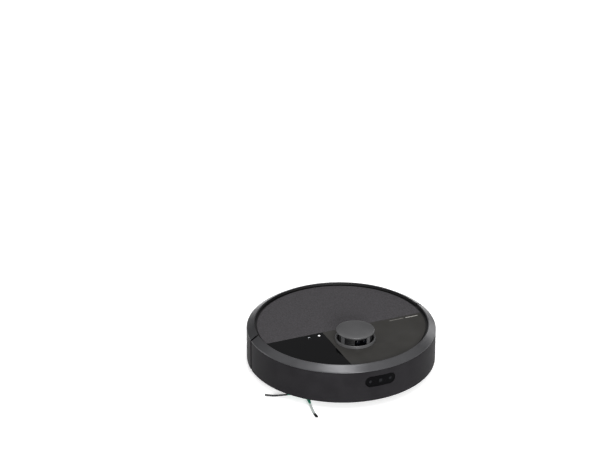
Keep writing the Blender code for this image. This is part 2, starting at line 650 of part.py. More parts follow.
def turret():
    """Base ring, cap on its posts, spinning head and the belt drive below."""
    centre = (0.0, TURRET_Y)
    ring_top = DECK_TOP + RING_RISE
    ring = turned("turret_ring", [
        (RING_INNER, ring_top), (RING_RADIUS - 0.0012, ring_top), (RING_RADIUS, ring_top - 0.0014),
        (RING_RADIUS, DECK_TOP + GAP), (RING_RADIUS - RING_STEP, DECK_TOP + GAP),
        (RING_RADIUS - RING_STEP, DECK_UNDER), (RING_INNER, DECK_UNDER),
    ], centre, 36)
    finish(ring, SATIN, 0.35)

    edge = TURRET_RADIUS
    cap = turned("turret_cap", [
        (0.0, TURRET_EDGE_TOP + CAP_CROWN),
        (edge * 0.55, TURRET_EDGE_TOP + CAP_CROWN * 0.80),
        (edge * 0.85, TURRET_EDGE_TOP + CAP_CROWN * 0.35),
        (edge - 0.0009, TURRET_EDGE_TOP - 0.0002),
        (edge, TURRET_EDGE_TOP - 0.0012),
        (edge - 0.0004, TURRET_EDGE_UNDER),
        (0.0, TURRET_EDGE_UNDER),
    ], centre, 36)
    for index in range(POST_COUNT):
        turn = math.radians(POST_TURN + 360.0 * index / POST_COUNT)
        post = block(f"cap_post_{index}", (POST_INNER, POST_OUTER), (-POST_WIDTH / 2, POST_WIDTH / 2),
                     (DECK_UNDER, TURRET_EDGE_UNDER + 0.001), CUTTERS)
        post.data.transform(Matrix.Translation((0.0, TURRET_Y, 0.0)) @ Matrix.Rotation(turn, 4, "Z"))
        join(cap, post)
    finish(cap, SATIN, 0.4)

    post_radius = 0.008
    plate_under = LIDAR_PLATE_TOP - LIDAR_PLATE
    base = turned("lidar_base", [
        (0.0, MID_TOP - 0.002), (post_radius, MID_TOP - 0.002), (post_radius, LIDAR_PLATE_TOP),
        (LIDAR_PLATE_RADIUS, LIDAR_PLATE_TOP), (LIDAR_PLATE_RADIUS, plate_under), (0.0, plate_under),
    ], centre, 24)
    finish(base, BLACK, 0.5)

    head_bore = post_radius + GAP
    belt_z = (LIDAR_PLATE_TOP + 0.0055, LIDAR_PLATE_TOP + 0.0090)
    pulley_under = belt_z[0] - 0.0008
    head = turned("lidar_head", [
        (0.0, HEAD_TOP), (HEAD_RADIUS - 0.0008, HEAD_TOP), (HEAD_RADIUS, HEAD_TOP - 0.0008),
        (HEAD_RADIUS, HEAD_UNDER), (PULLEY_RADIUS, HEAD_UNDER), (PULLEY_RADIUS, pulley_under),
        (head_bore, pulley_under), (head_bore, MID_TOP - 0.0015), (0.0, MID_TOP - 0.0015),
    ], centre, 28)
    pocket_z = (HEAD_UNDER + 0.004, HEAD_TOP - 0.003)
    pocket_depth = 0.006
    pocket_y = (TURRET_Y - HEAD_RADIUS - 0.002, TURRET_Y - HEAD_RADIUS + pocket_depth)
    cut(head, block("lens_pocket", (-0.013, 0.013), pocket_y, pocket_z, CUTTERS))
    finish(head, BLACK, 0.3)
    lens = block("lidar_lens", (-0.013 + GAP, 0.013 - GAP), (pocket_y[1] - 0.003, pocket_y[1] - GAP),
                 (pocket_z[0] + GAP, pocket_z[1] - GAP))
    set_origin(lens, (0.0, TURRET_Y, pocket_z[0]))
    finish(lens, (0.05, 0.01, 0.01), 0.05)

    drive = (MOTOR_PULLEY_X, TURRET_Y)
    motor = rod("lidar_motor", 0.008, (plate_under - 0.0095, plate_under - GAP), drive, 16)
    finish(motor, STEEL, 0.3, 1.0)
    pulley = rod("lidar_pulley", MOTOR_PULLEY_RADIUS, (LIDAR_PLATE_TOP + GAP, belt_z[1] + 0.0005), drive, 16)
    set_origin(pulley, (drive[0], drive[1], belt_z[0]))
    finish(pulley, STEEL, 0.3, 1.0)
    inner = [MOTOR_PULLEY_RADIUS + GAP, PULLEY_RADIUS + GAP]
    loops = [capsule(drive, centre, inner[0] + extra, inner[1] + extra, 20)
             for extra in (BELT_THICKNESS, 0.0)]
    belt = slab("lidar_belt", loops, belt_z)
    finish(belt, BLACK, 0.7)


# ---------------------------------------------------------------- wheels


def drive_wheel(name, side):
    """Swing arm with its motor, wheel rim and tyre, for one side."""
    arm = across(slab("wheel_arm_" + name, [
        capsule((ARM_PIVOT_Y, WHEEL_RADIUS), (0.0, WHEEL_RADIUS), ARM_PIVOT_END, ARM_WHEEL_END, 8)
    ], sorted((side * ARM_INNER, side * ARM_OUTER))))
    trunnion = sorted((side * (ARM_INNER - 0.003), side * (ARM_OUTER + 0.003)))
    pivot = cross_rod("trunnion_" + name, TRUNNION_RADIUS, trunnion, ARM_PIVOT_Y, WHEEL_RADIUS, 16, CUTTERS)
    join(arm, pivot)
    motor_end = WHEEL_X + ARM_MOTOR_REACH
    can = sorted((side * (ARM_OUTER - 0.001), side * motor_end))
    join(arm, cross_rod("wheel_motor_" + name, ARM_MOTOR_RADIUS, can, 0.0, WHEEL_RADIUS, 16, CUTTERS))
    set_origin(arm, (side * (ARM_INNER + ARM_OUTER) / 2, ARM_PIVOT_Y, WHEEL_RADIUS))
    finish(arm, CHARCOAL, 0.5)

    half = WHEEL_WIDTH / 2
    rim_radius = WHEEL_RADIUS - TYRE_THICKNESS - GAP
    hub = ARM_MOTOR_RADIUS + 0.0012
    face = motor_end - WHEEL_X + 0.0012
    rim_profile = [
        (0.0, half - 0.0025), (0.010, half - 0.0025), (0.014, half - 0.0045), (rim_radius - 0.004, half - 0.0045),
        (rim_radius - 0.0025, half - 0.0005), (rim_radius, half - 0.0005), (rim_radius, -half + 0.0005),
        (hub, -half + 0.0005), (hub, face), (0.0, face),
    ]
    bevel = 0.0016
    tyre_profile = [
        (rim_radius + GAP, half), (WHEEL_RADIUS - bevel, half), (WHEEL_RADIUS, half - bevel),
        (WHEEL_RADIUS, -half + bevel), (WHEEL_RADIUS - bevel, -half), (rim_radius + GAP, -half),
    ]
    for part, profile, colour, rough in (
        ("wheel_rim_", rim_profile, SATIN, 0.4), ("wheel_tyre_", tyre_profile, BLACK, 0.8),
    ):
        made = turned(part + name, profile, steps=32)
        made.rotation_euler = (0.0, side * math.pi / 2, 0.0)
        made.location = (side * WHEEL_X, 0.0, WHEEL_RADIUS)
        finish(made, colour, rough)


def caster():
    """Front swivel caster: socket in the pan, fork and wheel."""
    centre = (0.0, CASTER_Y)
    crown_top = PLATE_TOP + 0.0092
    socket_top = crown_top + 0.018
    cap_under = crown_top + GAP
    cap_top = cap_under + 0.0025
    socket = turned("caster_socket", [
        (CASTER_STEM + GAP, socket_top), (CASTER_BOSS, socket_top), (CASTER_BOSS, cap_top),
        (CASTER_SOCKET_RADIUS, cap_top),
        (CASTER_SOCKET_RADIUS, PLATE_TOP + GAP), (CASTER_WELL_RADIUS, PLATE_TOP + GAP),
        (CASTER_WELL_RADIUS, cap_under), (CASTER_STEM + GAP, cap_under),
    ], centre)
    finish(socket, CHARCOAL, 0.5)

    wheel_y = CASTER_Y + CASTER_TRAIL
    crown_under = crown_top - 0.002
    fork = turned("caster_fork", [
        (0.0, socket_top - 0.001), (CASTER_STEM, socket_top - 0.001), (CASTER_STEM, crown_top),
        (CASTER_WELL_RADIUS - 0.001, crown_top), (CASTER_WELL_RADIUS - 0.001, crown_under),
        (0.0, crown_under),
    ], centre)
    cheek_in = CASTER_WIDTH / 2 + 0.0004
    for side in (1, -1):
        x = sorted((side * cheek_in, side * (cheek_in + 0.002)))
        cheek = block(f"cheek_{side + 1}", x, (wheel_y - 0.006, wheel_y + 0.005),
                      (CASTER_RADIUS - 0.004, crown_under + 0.001), CUTTERS)
        join(fork, cheek)
    pin_x = (-cheek_in - 0.001, cheek_in + 0.001)
    join(fork, cross_rod("caster_pin", CASTER_PIN, pin_x, wheel_y, CASTER_RADIUS, 12, CUTTERS))
    finish(fork, CHARCOAL, 0.5)

    half = CASTER_WIDTH / 2
    wheel = turned("caster_wheel", [
        (CASTER_PIN + GAP, half), (CASTER_RADIUS - 0.0025, half), (CASTER_RADIUS, half - 0.0025),
        (CASTER_RADIUS, -half + 0.0025), (CASTER_RADIUS - 0.0025, -half), (CASTER_PIN + GAP, -half),
    ])
    wheel.rotation_euler = (0.0, math.pi / 2, 0.0)
    wheel.location = (0.0, wheel_y, CASTER_RADIUS)
    finish(wheel, BLACK, 0.6)


# ---------------------------------------------------------------- cleaning parts


def main_brush():
    """Tunnel with its suction duct, finned roller, guard frame and motor."""
    half_depth = TUNNEL_RADIUS + TUNNEL_WALL
    frame_top = BRUSH_Z + TUNNEL_RADIUS + TUNNEL_ROOF
    frame_x = BRUSH_WELL_X + TUNNEL_END
    frame = block("brush_frame", (-frame_x, frame_x), (BRUSH_Y - half_depth, BRUSH_Y + half_depth),
                  (PLATE_TOP + GAP, frame_top))
    tunnel_x = (-BRUSH_WELL_X, BRUSH_WELL_X)
    cut(frame, cross_rod("tunnel", TUNNEL_RADIUS, tunnel_x, BRUSH_Y, BRUSH_Z, 28, CUTTERS))
    bore_x = (-frame_x - 0.001, frame_x + 0.001)
    cut(frame, cross_rod("axle_bore", AXLE_RADIUS + GAP, bore_x, BRUSH_Y, BRUSH_Z, 16, CUTTERS))
    duct_x = (-DUCT_HALF_WIDTH, DUCT_HALF_WIDTH)
    duct_y = (BRUSH_Y + half_depth - 0.001, BIN_FRONT_Y - GAP)
    duct_z = (BIN_BOTTOM + BIN_INLET[0], BIN_BOTTOM + BIN_INLET[1])
    duct = block("suction_duct", (duct_x[0] - DUCT_WALL, duct_x[1] + DUCT_WALL), duct_y,
                 (duct_z[0] - DUCT_WALL, duct_z[1] + DUCT_WALL), CUTTERS)
    join(frame, duct)
    cut(frame, block("duct_bore", duct_x, (BRUSH_Y, duct_y[1] + 0.001), duct_z, CUTTERS))
    finish(frame, CHARCOAL, 0.5)

    outline = []
    fin_half = FIN_THICKNESS / 2
    for index in range(FIN_COUNT):
        turn = math.tau * index / FIN_COUNT
        spread = math.asin(fin_half / BRUSH_CORE_RADIUS)
        tip = math.asin(fin_half / BRUSH_RADIUS)
        for radius, angle in (
            (BRUSH_CORE_RADIUS, turn - spread), (BRUSH_RADIUS, turn - tip),
            (BRUSH_RADIUS, turn + tip), (BRUSH_CORE_RADIUS, turn + spread),
            (BRUSH_CORE_RADIUS, turn + math.pi / FIN_COUNT),
        ):
            outline.append((radius * math.cos(angle), radius * math.sin(angle)))
    half = BRUSH_LENGTH / 2
    roller = across(slab("main_roller", [outline], (-half, half)))
    axle_x = (-frame_x + 0.0005, frame_x - 0.0005)
    roller.location = (0.0, BRUSH_Y, BRUSH_Z)
    join(roller, cross_rod("roller_axle", AXLE_RADIUS, axle_x, BRUSH_Y, BRUSH_Z, 16, CUTTERS))
    finish(roller, BLACK, 0.6)

    guard_under = GROUND_CLEARANCE - 0.003
    guard_x = BRUSH_WELL_X + 0.0045
    guard_y = TUNNEL_RADIUS + 0.004
    window_y = BRUSH_RADIUS
    guard = slab("brush_guard", [
        rounded_box((-guard_x, guard_x), (BRUSH_Y - guard_y, BRUSH_Y + guard_y), 0.004),
        rounded_box((-half - 0.0005, half + 0.0005), (BRUSH_Y - window_y, BRUSH_Y + window_y), 0.002),
    ], (guard_under, GROUND_CLEARANCE - GAP))
    finish(guard, SATIN, 0.5)

    motor_x = (0.044, frame_x - 0.002)
    motor_z = frame_top + 0.0113
    motor = cross_rod("brush_motor", 0.011, motor_x, BRUSH_Y, motor_z, 16)
    finish(motor, STEEL, 0.3, 1.0)


def side_brush():
    """Hub, rubber spider and three bristle tufts, with the motor above."""
    hub_top = GROUND_CLEARANCE - 0.0008
    hub_under = hub_top - 0.0040
    shaft_top = PLATE_TOP + 0.0060
    hub = turned("side_brush_hub", [
        (0.0, shaft_top), (SIDE_SHAFT_RADIUS, shaft_top), (SIDE_SHAFT_RADIUS, hub_top),
        (SIDE_HUB_RADIUS - 0.001, hub_top), (SIDE_HUB_RADIUS, hub_top - 0.001),
        (SIDE_HUB_RADIUS, hub_under), (0.0, hub_under),
    ], SIDE_BRUSH, 18)
    finish(hub, BLACK, 0.4)

    spider_z = (hub_under - 0.0025, hub_under - GAP)
    spider = slab("side_brush_spider", [arc(SIDE_BRUSH, 0.011, 0, 345, 23)], spider_z)
    for index, angle in enumerate(SIDE_ARM_ANGLES):
        turn = math.radians(angle)
        end = (SIDE_BRUSH[0] + (SIDE_ARM_REACH - SIDE_ARM_TIP) * math.cos(turn),
               SIDE_BRUSH[1] + (SIDE_ARM_REACH - SIDE_ARM_TIP) * math.sin(turn))
        outline = capsule(SIDE_BRUSH, end, SIDE_ARM_ROOT, SIDE_ARM_TIP, 6)
        join(spider, slab(f"spider_arm_{index}", [outline], spider_z, CUTTERS))
    set_origin(spider, (*SIDE_BRUSH, spider_z[0]))
    finish(spider, (0.02, 0.25, 0.17), 0.6)

    start_z = (spider_z[0] + spider_z[1]) / 2
    tip_z = 0.0008 + TUFT_RADIUS
    for index, (angle, tip_bend) in enumerate(zip(SIDE_ARM_ANGLES, TUFT_BENDS), 1):
        count = 6
        points = []
        for step in range(count + 1):
            share = step / count
            reach = SIDE_ARM_REACH + GAP + (SIDE_BRUSH_REACH - SIDE_ARM_REACH - GAP) * share
            bend = math.radians(angle - tip_bend * math.sin(math.pi * share / 2) * share)
            height = start_z + (tip_z - start_z) * min(1.0, share * 1.5)
            points.append((SIDE_BRUSH[0] + reach * math.cos(bend),
                           SIDE_BRUSH[1] + reach * math.sin(bend), height))
        tuft = wire(f"bristle_tuft_{index}", points, TUFT_RADIUS)
        set_origin(tuft, (*SIDE_BRUSH, start_z))
        finish(tuft, BLACK, 0.6)

    motor = rod("side_brush_motor", 0.0115, (PLATE_TOP + 0.0065, PLATE_TOP + 0.026), SIDE_BRUSH, 16)
    finish(motor, STEEL, 0.3, 1.0)


def wire(name, points, radius):
    """Round wire through a list of points, with closed ends."""
    curve = bpy.data.curves.new(name, "CURVE")
    curve.dimensions = "3D"
    curve.bevel_depth = radius
    curve.bevel_resolution = 2
    curve.use_fill_caps = True
    spline = curve.splines.new("POLY")
    spline.points.add(len(points) - 1)
    for point, place in zip(spline.points, points):
        point.co = (*place, 1.0)
    guide = bpy.data.objects.new(name + "_curve", curve)
    PARTS.objects.link(guide)
    return curve_to_mesh(name, guide, PARTS)


def mops():
    """Lifting carrier and the two spinning mops."""
    disc_under = MOP_PAD_THICKNESS + GAP
    disc_top = disc_under + 0.004
    carrier_under = PLATE_TOP + 0.003
    carrier_top = carrier_under + 0.003
    ends = ((-MOP_X, MOP_Y), (MOP_X, MOP_Y))
    carrier = slab("mop_carrier", [capsule(*ends, 0.028, 0.0281, 12)], (carrier_under, carrier_top))
    for name, side in (("left", 1), ("right", -1)):
        place = (side * MOP_X, MOP_Y)
        can = (carrier_top - 0.001, carrier_top + 0.014)
        join(carrier, rod("mop_motor_" + name, 0.0165, can, place, 16, CUTTERS))
    set_origin(carrier, (0.0, MOP_Y, carrier_under))
    finish(carrier, CHARCOAL, 0.5)
    for name, side in (("left", 1), ("right", -1)):
        place = (side * MOP_X, MOP_Y)
        shaft = carrier_under - GAP
        disc = turned("mop_disc_" + name, [
            (0.0, shaft), (0.005, shaft), (0.005, disc_top), (MOP_DISC_RADIUS - 0.001, disc_top),
            (MOP_DISC_RADIUS, disc_top - 0.001), (MOP_DISC_RADIUS, disc_under), (0.0, disc_under),
        ], place, 28)
        finish(disc, SATIN, 0.5)
        pad = turned("mop_pad_" + name, [
            (0.0, MOP_PAD_THICKNESS), (MOP_PAD_RADIUS - 0.002, MOP_PAD_THICKNESS),
            (MOP_PAD_RADIUS, MOP_PAD_THICKNESS - 0.002), (MOP_PAD_RADIUS, 0.0015),
            (MOP_PAD_RADIUS - 0.0015, 0.0), (0.0, 0.0),
        ], place, 28)
        finish(pad, (0.30, 0.30, 0.32), 0.95)


def dust_bin():
    """Lift-out bin with its flap, filter and folding handle."""
    width = (-BIN_HALF_WIDTH, BIN_HALF_WIDTH)
    depth = (BIN_FRONT_Y, BIN_REAR_Y)
    corner = 0.005
    tub = slab("dust_bin_tub", [rounded_box(width, depth, corner)], (BIN_BOTTOM, BIN_TUB_TOP))
    inside_x = (width[0] + BIN_WALL, width[1] - BIN_WALL)
    inside_y = (depth[0] + BIN_WALL, depth[1] - BIN_WALL)
    inside = slab("bin_inside", [rounded_box(inside_x, inside_y, corner - BIN_WALL)],
                  (BIN_BOTTOM + BIN_WALL, BIN_TUB_TOP + 0.01), CUTTERS)
    inlet_z = (BIN_BOTTOM + BIN_INLET[0], BIN_BOTTOM + BIN_INLET[1])
    inlet_x = (-DUCT_HALF_WIDTH, DUCT_HALF_WIDTH)
    inlet = block("bin_inlet", inlet_x, (depth[0] - 0.001, depth[0] + 0.004), inlet_z, CUTTERS)
    filter_y = (depth[0] + 0.006, depth[1] - 0.006)
    filter_z = (BIN_BOTTOM + 0.005, BIN_TUB_TOP - 0.004)
    outlet = block("bin_outlet", (width[0] - 0.001, width[0] + 0.004),
                   (filter_y[0] + 0.004, filter_y[1] - 0.004), (filter_z[0] + 0.004, filter_z[1] - 0.004),
                   CUTTERS)
    cut(tub, inside, inlet, outlet)
    finish(tub, (0.06, 0.06, 0.07), 0.15)

    flap = slab("bin_cover", [rounded_box(width, depth, corner)], (BIN_FLAP_TOP - BIN_FLAP, BIN_FLAP_TOP))
    finish(flap, CHARCOAL, 0.4)
    filter_x = (inside_x[0] + GAP, inside_x[0] + 0.0055)
    sieve = block("bin_filter", filter_x, filter_y, filter_z)
    finish(sieve, (0.75, 0.76, 0.75), 0.9)

    pivot_y = depth[1] - 0.006
    pivot_z = BIN_FLAP_TOP + 0.0009 + HANDLE_THICKNESS / 2
    heel = HANDLE_THICKNESS / 2
    grip_front = pivot_y - 0.028
    leg = 0.006
    spread = 0.040
    bail = [
        (-spread, pivot_y + heel), (-spread, grip_front), (spread, grip_front), (spread, pivot_y + heel),
        (spread - leg, pivot_y + heel), (spread - leg, grip_front + leg),
        (-spread + leg, grip_front + leg), (-spread + leg, pivot_y + heel),
    ]
    handle = slab("bin_handle", [bail], (pivot_z - heel, pivot_z + heel))
    set_origin(handle, (0.0, pivot_y, pivot_z))
    finish(handle, SATIN, 0.4)


# ---------------------------------------------------------------- inner parts


def inner_parts():
    """Fan, battery and circuit board."""
    fan_under = BIN_BOTTOM
    fan_top = fan_under + FAN_HEIGHT
    wall = 0.002
    mouth = 0.010
    housing = turned("fan_housing", [
        (mouth, fan_top), (FAN_RADIUS - 0.002, fan_top), (FAN_RADIUS, fan_top - 0.002),
        (FAN_RADIUS, fan_under), (0.004, fan_under), (0.004, fan_under + wall),
        (FAN_RADIUS - wall, fan_under + wall), (FAN_RADIUS - wall, fan_top - wall), (mouth, fan_top - wall),
    ], FAN_CENTRE)
    finish(housing, CHARCOAL, 0.5)
    room = 0.0015
    blades = FAN_RADIUS - wall - room
    impeller = turned("fan_impeller", [
        (0.0, fan_top - wall - room), (0.007, fan_top - wall - room), (blades, fan_top - wall - 0.010),
        (blades, fan_under + wall + 0.006), (0.0036, fan_under + wall + 0.006),
        (0.0036, fan_under - 0.003), (0.0, fan_under - 0.003),
    ], FAN_CENTRE)
    finish(impeller, SATIN, 0.3)

    battery_under = PLATE_TOP + 0.0015
    battery = slab("battery_pack", [
        rounded_box((-BATTERY_HALF_WIDTH, BATTERY_HALF_WIDTH), (BATTERY_FRONT_Y, BATTERY_REAR_Y), 0.004)
    ], (battery_under, battery_under + BATTERY_HEIGHT))
    finish(battery, (0.03, 0.07, 0.18), 0.4)
    edge = 0.002 - GAP
    door = block("battery_door", (-BATTERY_HALF_WIDTH - edge, BATTERY_HALF_WIDTH + edge),
                 (BATTERY_FRONT_Y - 0.001 + GAP, BATTERY_REAR_Y + 0.001 - GAP),
                 (GROUND_CLEARANCE + 0.0001, PLATE_TOP - 0.0002))
    finish(door, CHARCOAL, 0.5)

    board_x = (BATTERY_HALF_WIDTH + 0.005, BATTERY_HALF_WIDTH + 0.047)
    board_y = (BATTERY_FRONT_Y + 0.010, BRUSH_Y - TUNNEL_RADIUS - 0.0040)
    board_z = (PLATE_TOP + 0.004, PLATE_TOP + 0.0056)
    board = block("main_board", board_x, board_y, board_z)
    chip = block("chip", (board_x[0] + 0.012, board_x[0] + 0.026), (board_y[0] + 0.012, board_y[0] + 0.026),
                 (board_z[0] + 0.0005, board_z[1] + 0.0018), CUTTERS)
    plug = block("plug", (board_x[0] + 0.030, board_x[0] + 0.038), (board_y[0] + 0.006, board_y[1] - 0.014),
                 (board_z[0] + 0.0005, board_z[1] + 0.006), CUTTERS)
    join(board, chip, plug)
    finish(board, (0.02, 0.14, 0.06), 0.4)


casing()
chassis()
top_plates()
turret()
drive_wheel("left", 1)
drive_wheel("right", -1)
caster()
main_brush()
side_brush()
mops()
dust_bin()
inner_parts()
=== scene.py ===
# %% [markdown]
# A robot vacuum cleaner, finished for a studio picture. The engineering model already fixes every size,
# place and joint. This notebook only makes the looks: each cell builds one piece or one finish around that
# frame, and says why it is made the way it is.

# %% Load the frame
import json
import math
import random

import bmesh
import bpy
from mathutils import Matrix, Vector


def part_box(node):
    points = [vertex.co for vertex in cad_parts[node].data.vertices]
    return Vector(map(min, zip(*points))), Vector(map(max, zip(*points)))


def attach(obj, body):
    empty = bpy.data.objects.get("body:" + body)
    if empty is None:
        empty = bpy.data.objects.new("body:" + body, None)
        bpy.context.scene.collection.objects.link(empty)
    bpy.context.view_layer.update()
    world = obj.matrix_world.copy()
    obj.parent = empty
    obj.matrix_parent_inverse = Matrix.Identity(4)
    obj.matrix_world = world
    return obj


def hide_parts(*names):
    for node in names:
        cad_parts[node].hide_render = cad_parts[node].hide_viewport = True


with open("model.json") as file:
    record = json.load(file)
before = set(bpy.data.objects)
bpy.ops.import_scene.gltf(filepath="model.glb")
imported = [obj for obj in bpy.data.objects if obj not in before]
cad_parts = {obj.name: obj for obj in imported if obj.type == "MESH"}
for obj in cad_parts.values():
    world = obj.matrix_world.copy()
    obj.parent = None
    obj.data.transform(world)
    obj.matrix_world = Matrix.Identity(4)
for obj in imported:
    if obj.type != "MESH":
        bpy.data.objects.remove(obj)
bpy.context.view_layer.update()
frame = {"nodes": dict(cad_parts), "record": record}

# %% [markdown]
# Places are read from the frame, so a piece always goes where the machine's own part is. Only sizes that
# the frame's boxes can't say, such as the width of the slanted rim, are named here.

# %% Sizes read from the frame


def low(node):
    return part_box(node)[0]


def high(node):
    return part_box(node)[1]


def middle(node):
    return (low(node) + high(node)) / 2


def half_width(node):
    return (high(node).x - low(node).x) / 2


BODY_RADIUS = high("bumper_wall").x
WALL_UNDER = low("bumper_wall").z
WALL_TOP = high("bumper_rim").z - 0.0087
RIM_TOP = high("bumper_rim").z
RIM_INNER = BODY_RADIUS - 0.0148
DECK_TOP = high("lid_cover").z
DECK_UNDER = low("lid_cover").z
DECK_RADIUS = high("lid_cover").x
LID_EDGE = low("lid_cover").y
BUMPER_END = high("bumper_wall").y
REAR_START = low("rear_wall").y
SPLIT_RADIUS = 0.0005           # how far the rounded ends stand back at the split
print("body radius", round(BODY_RADIUS, 4), "deck", round(DECK_TOP, 4))

# %% [markdown]
# Colours are written as sRGB hex, as a paint card gives them, and one function turns them into the linear
# values that the renderer works in.

# %% Colour


def linear(colour):
    parts = [int(colour[i:i + 2], 16) / 255 for i in (1, 3, 5)]
    curve = [c / 12.92 if c <= 0.04045 else ((c + 0.055) / 1.055) ** 2.4 for c in parts]
    return (*curve, 1.0)


# %% One function adds a shader node


def add_node(tree, kind, settings=None, links=None):
    made = tree.nodes.new(kind)
    for key, value in (settings or {}).items():
        if isinstance(key, int) or key in made.inputs:
            made.inputs[key].default_value = value
        else:
            setattr(made, key, value)
    for key, socket in (links or {}).items():
        tree.links.new(socket, made.inputs[key])
    return made


# %% Start and finish of every material


def blank_material(name):
    """A new material, its nodes, its shader and the object's own coordinates."""
    material = bpy.data.materials.new(name)
    material.use_nodes = True
    tree = material.node_tree
    place = add_node(tree, "ShaderNodeTexCoord").outputs["Object"]
    return material, tree, tree.nodes["Principled BSDF"], place


def two_shades(tree, first, second, share):
    made = add_node(tree, "ShaderNodeMix", {"data_type": "RGBA", 6: linear(first), 7: linear(second)},
                    {0: share})
    return made.outputs[2]


def wire(tree, shader, **sockets):
    for key, socket in sockets.items():
        tree.links.new(socket, shader.inputs[key.replace("_", " ")])


# %% [markdown]
# Most of the machine is injection-moulded ABS. The mould is spark-eroded, which leaves a fine grain: it
# breaks up the gloss and catches light as tiny points. The grain is noise on the object's own coordinates,
# at its real size in millimetres, and a second, slow noise keeps large faces from looking printed. The side
# wall's IOR is set far below a real plastic's, to weaken the glancing reflection of the white floor.

# %% Moulded plastic


def moulded(name, dark, light, roughness, grain_mm=0.6, depth_mm=0.02, spread=0.08, cloud_mm=30.0, **sockets):
    """IOR 1.5 unless a socket says otherwise, colour between two shades, grain of a real size."""
    material, tree, shader, place = blank_material(name)
    shader.inputs["IOR"].default_value = 1.5
    for key, value in sockets.items():
        shader.inputs[key.replace("_", " ")].default_value = value
    cloud = add_node(tree, "ShaderNodeTexNoise", {"Scale": 1000 / cloud_mm, "Detail": 3.0}, {"Vector": place})
    grain = add_node(tree, "ShaderNodeTexNoise", {"Scale": 1000 / grain_mm, "Detail": 2.0}, {"Vector": place})
    blend = add_node(tree, "ShaderNodeMath", {"operation": "MULTIPLY_ADD", 1: 0.45},
                     {0: grain.outputs["Fac"], 2: cloud.outputs["Fac"]})
    shade = add_node(tree, "ShaderNodeMapRange", {"From Min": 0.35, "From Max": 1.1},
                     {"Value": blend.outputs[0]})
    colour = two_shades(tree, dark, light, shade.outputs["Result"])
    limits = {"From Min": 0.3, "From Max": 0.7, "To Min": roughness - spread / 2,
              "To Max": roughness + spread / 2}
    rough = add_node(tree, "ShaderNodeMapRange", limits, {"Value": cloud.outputs["Fac"]})
    bump = add_node(tree, "ShaderNodeBump", {"Strength": 0.6, "Distance": depth_mm / 1000},
                    {"Height": grain.outputs["Fac"]})
    wire(tree, shader, Base_Color=colour, Roughness=rough.outputs["Result"], Normal=bump.outputs["Normal"])
    return material


# painted shade: a near-black, barely reflecting finish for the sheet that stands for the shade in the split
PAINTED_SHADE_SHEET = moulded("painted_shade_black_sheet", "#020202", "#050505", 0.9, grain_mm=0.9, depth_mm=0.05,
                     Specular_IOR_Level=0.05)
SHELL = moulded("spark_eroded_abs_side_wall", "#161517", "#201f21", 0.55, grain_mm=0.5, depth_mm=0.02, IOR=1.12)
RIM = moulded("satin_painted_abs_rim", "#3a3a3c", "#444446", 0.32, grain_mm=0.9, depth_mm=0.004, Metallic=0.45)
FASCIA = moulded("satin_abs_fascia", "#2a2927", "#333230", 0.42, grain_mm=0.5, depth_mm=0.008,
                 Specular_IOR_Level=0.30)
GLOSS = moulded("piano_black_panel", "#060607", "#08080a", 0.05, grain_mm=8.0, depth_mm=0.004, spread=0.02)
WINDOW = moulded("coated_infrared_window", "#020203", "#040405", 0.08, grain_mm=6.0, depth_mm=0.004,
                 spread=0.03, Specular_IOR_Level=0.03)
TURRET = moulded("satin_abs_turret_cap", "#434344", "#4d4d4e", 0.36, grain_mm=0.5, depth_mm=0.008,
                 Specular_IOR_Level=0.40)
INNER = moulded("black_abs_inner_frame", "#0c0c0d", "#161617", 0.55, grain_mm=0.8, depth_mm=0.03)
CHASSIS = moulded("grained_abs_chassis", "#232325", "#303032", 0.5, grain_mm=0.9, depth_mm=0.04)
WHEEL = moulded("glass_filled_nylon_wheel", "#2c2c2e", "#3a3a3c", 0.5, grain_mm=1.2, depth_mm=0.04)
RUBBER = moulded("ribbed_tyre_rubber", "#141414", "#212120", 0.78, grain_mm=0.7, depth_mm=0.06)
ROLLER = moulded("satin_polyurethane_fins", "#1c1c1f", "#2a2a2e", 0.45, grain_mm=1.5, depth_mm=0.05)
GREEN = moulded("green_thermoplastic_rubber", "#0f5a45", "#1c7d62", 0.55, grain_mm=0.9, depth_mm=0.04)
BRISTLE = moulded("black_nylon_bristle", "#0d0d0e", "#1a1a1b", 0.35, grain_mm=2.0, depth_mm=0.01)
BELT = moulded("neoprene_belt", "#0f0f10", "#191919", 0.7, grain_mm=0.8, depth_mm=0.05)
WRAP = moulded("blue_shrink_wrap", "#12356b", "#1d4685", 0.3, grain_mm=9.0, depth_mm=0.2)
BOARD = moulded("green_solder_mask", "#0b4a28", "#12643a", 0.35, grain_mm=1.6, depth_mm=0.03)
IMPELLER = moulded("moulded_impeller_nylon", "#454547", "#58585a", 0.4, grain_mm=1.0, depth_mm=0.02)
SMOKE = moulded("smoked_polycarbonate_bin", "#2b2b2f", "#3a3a40", 0.12, grain_mm=12.0, depth_mm=0.02,
                spread=0.04, Transmission_Weight=0.55)

# %% [markdown]
# Drawn steel has fine lines along one axis. Noise that is stretched a hundred times along X gives them.

# %% Drawn steel


def drawn_steel(name, colour, roughness):
    material, tree, shader, place = blank_material(name)
    shader.inputs["Metallic"].default_value = 1.0
    stretch = add_node(tree, "ShaderNodeMapping", {"Scale": (20.0, 2000.0, 2000.0)}, {"Vector": place})
    lines = add_node(tree, "ShaderNodeTexNoise", {"Scale": 1.0, "Detail": 2.0},
                     {"Vector": stretch.outputs[0]})
    shade = two_shades(tree, colour, "#e2e0da", lines.outputs["Fac"])
    rough = add_node(tree, "ShaderNodeMapRange", {"To Min": roughness - 0.06, "To Max": roughness + 0.1},
                     {"Value": lines.outputs["Fac"]})
    bump = add_node(tree, "ShaderNodeBump", {"Strength": 0.3, "Distance": 0.00001},
                    {"Height": lines.outputs["Fac"]})
    wire(tree, shader, Base_Color=shade, Roughness=rough.outputs["Result"], Normal=bump.outputs["Normal"])
    return material


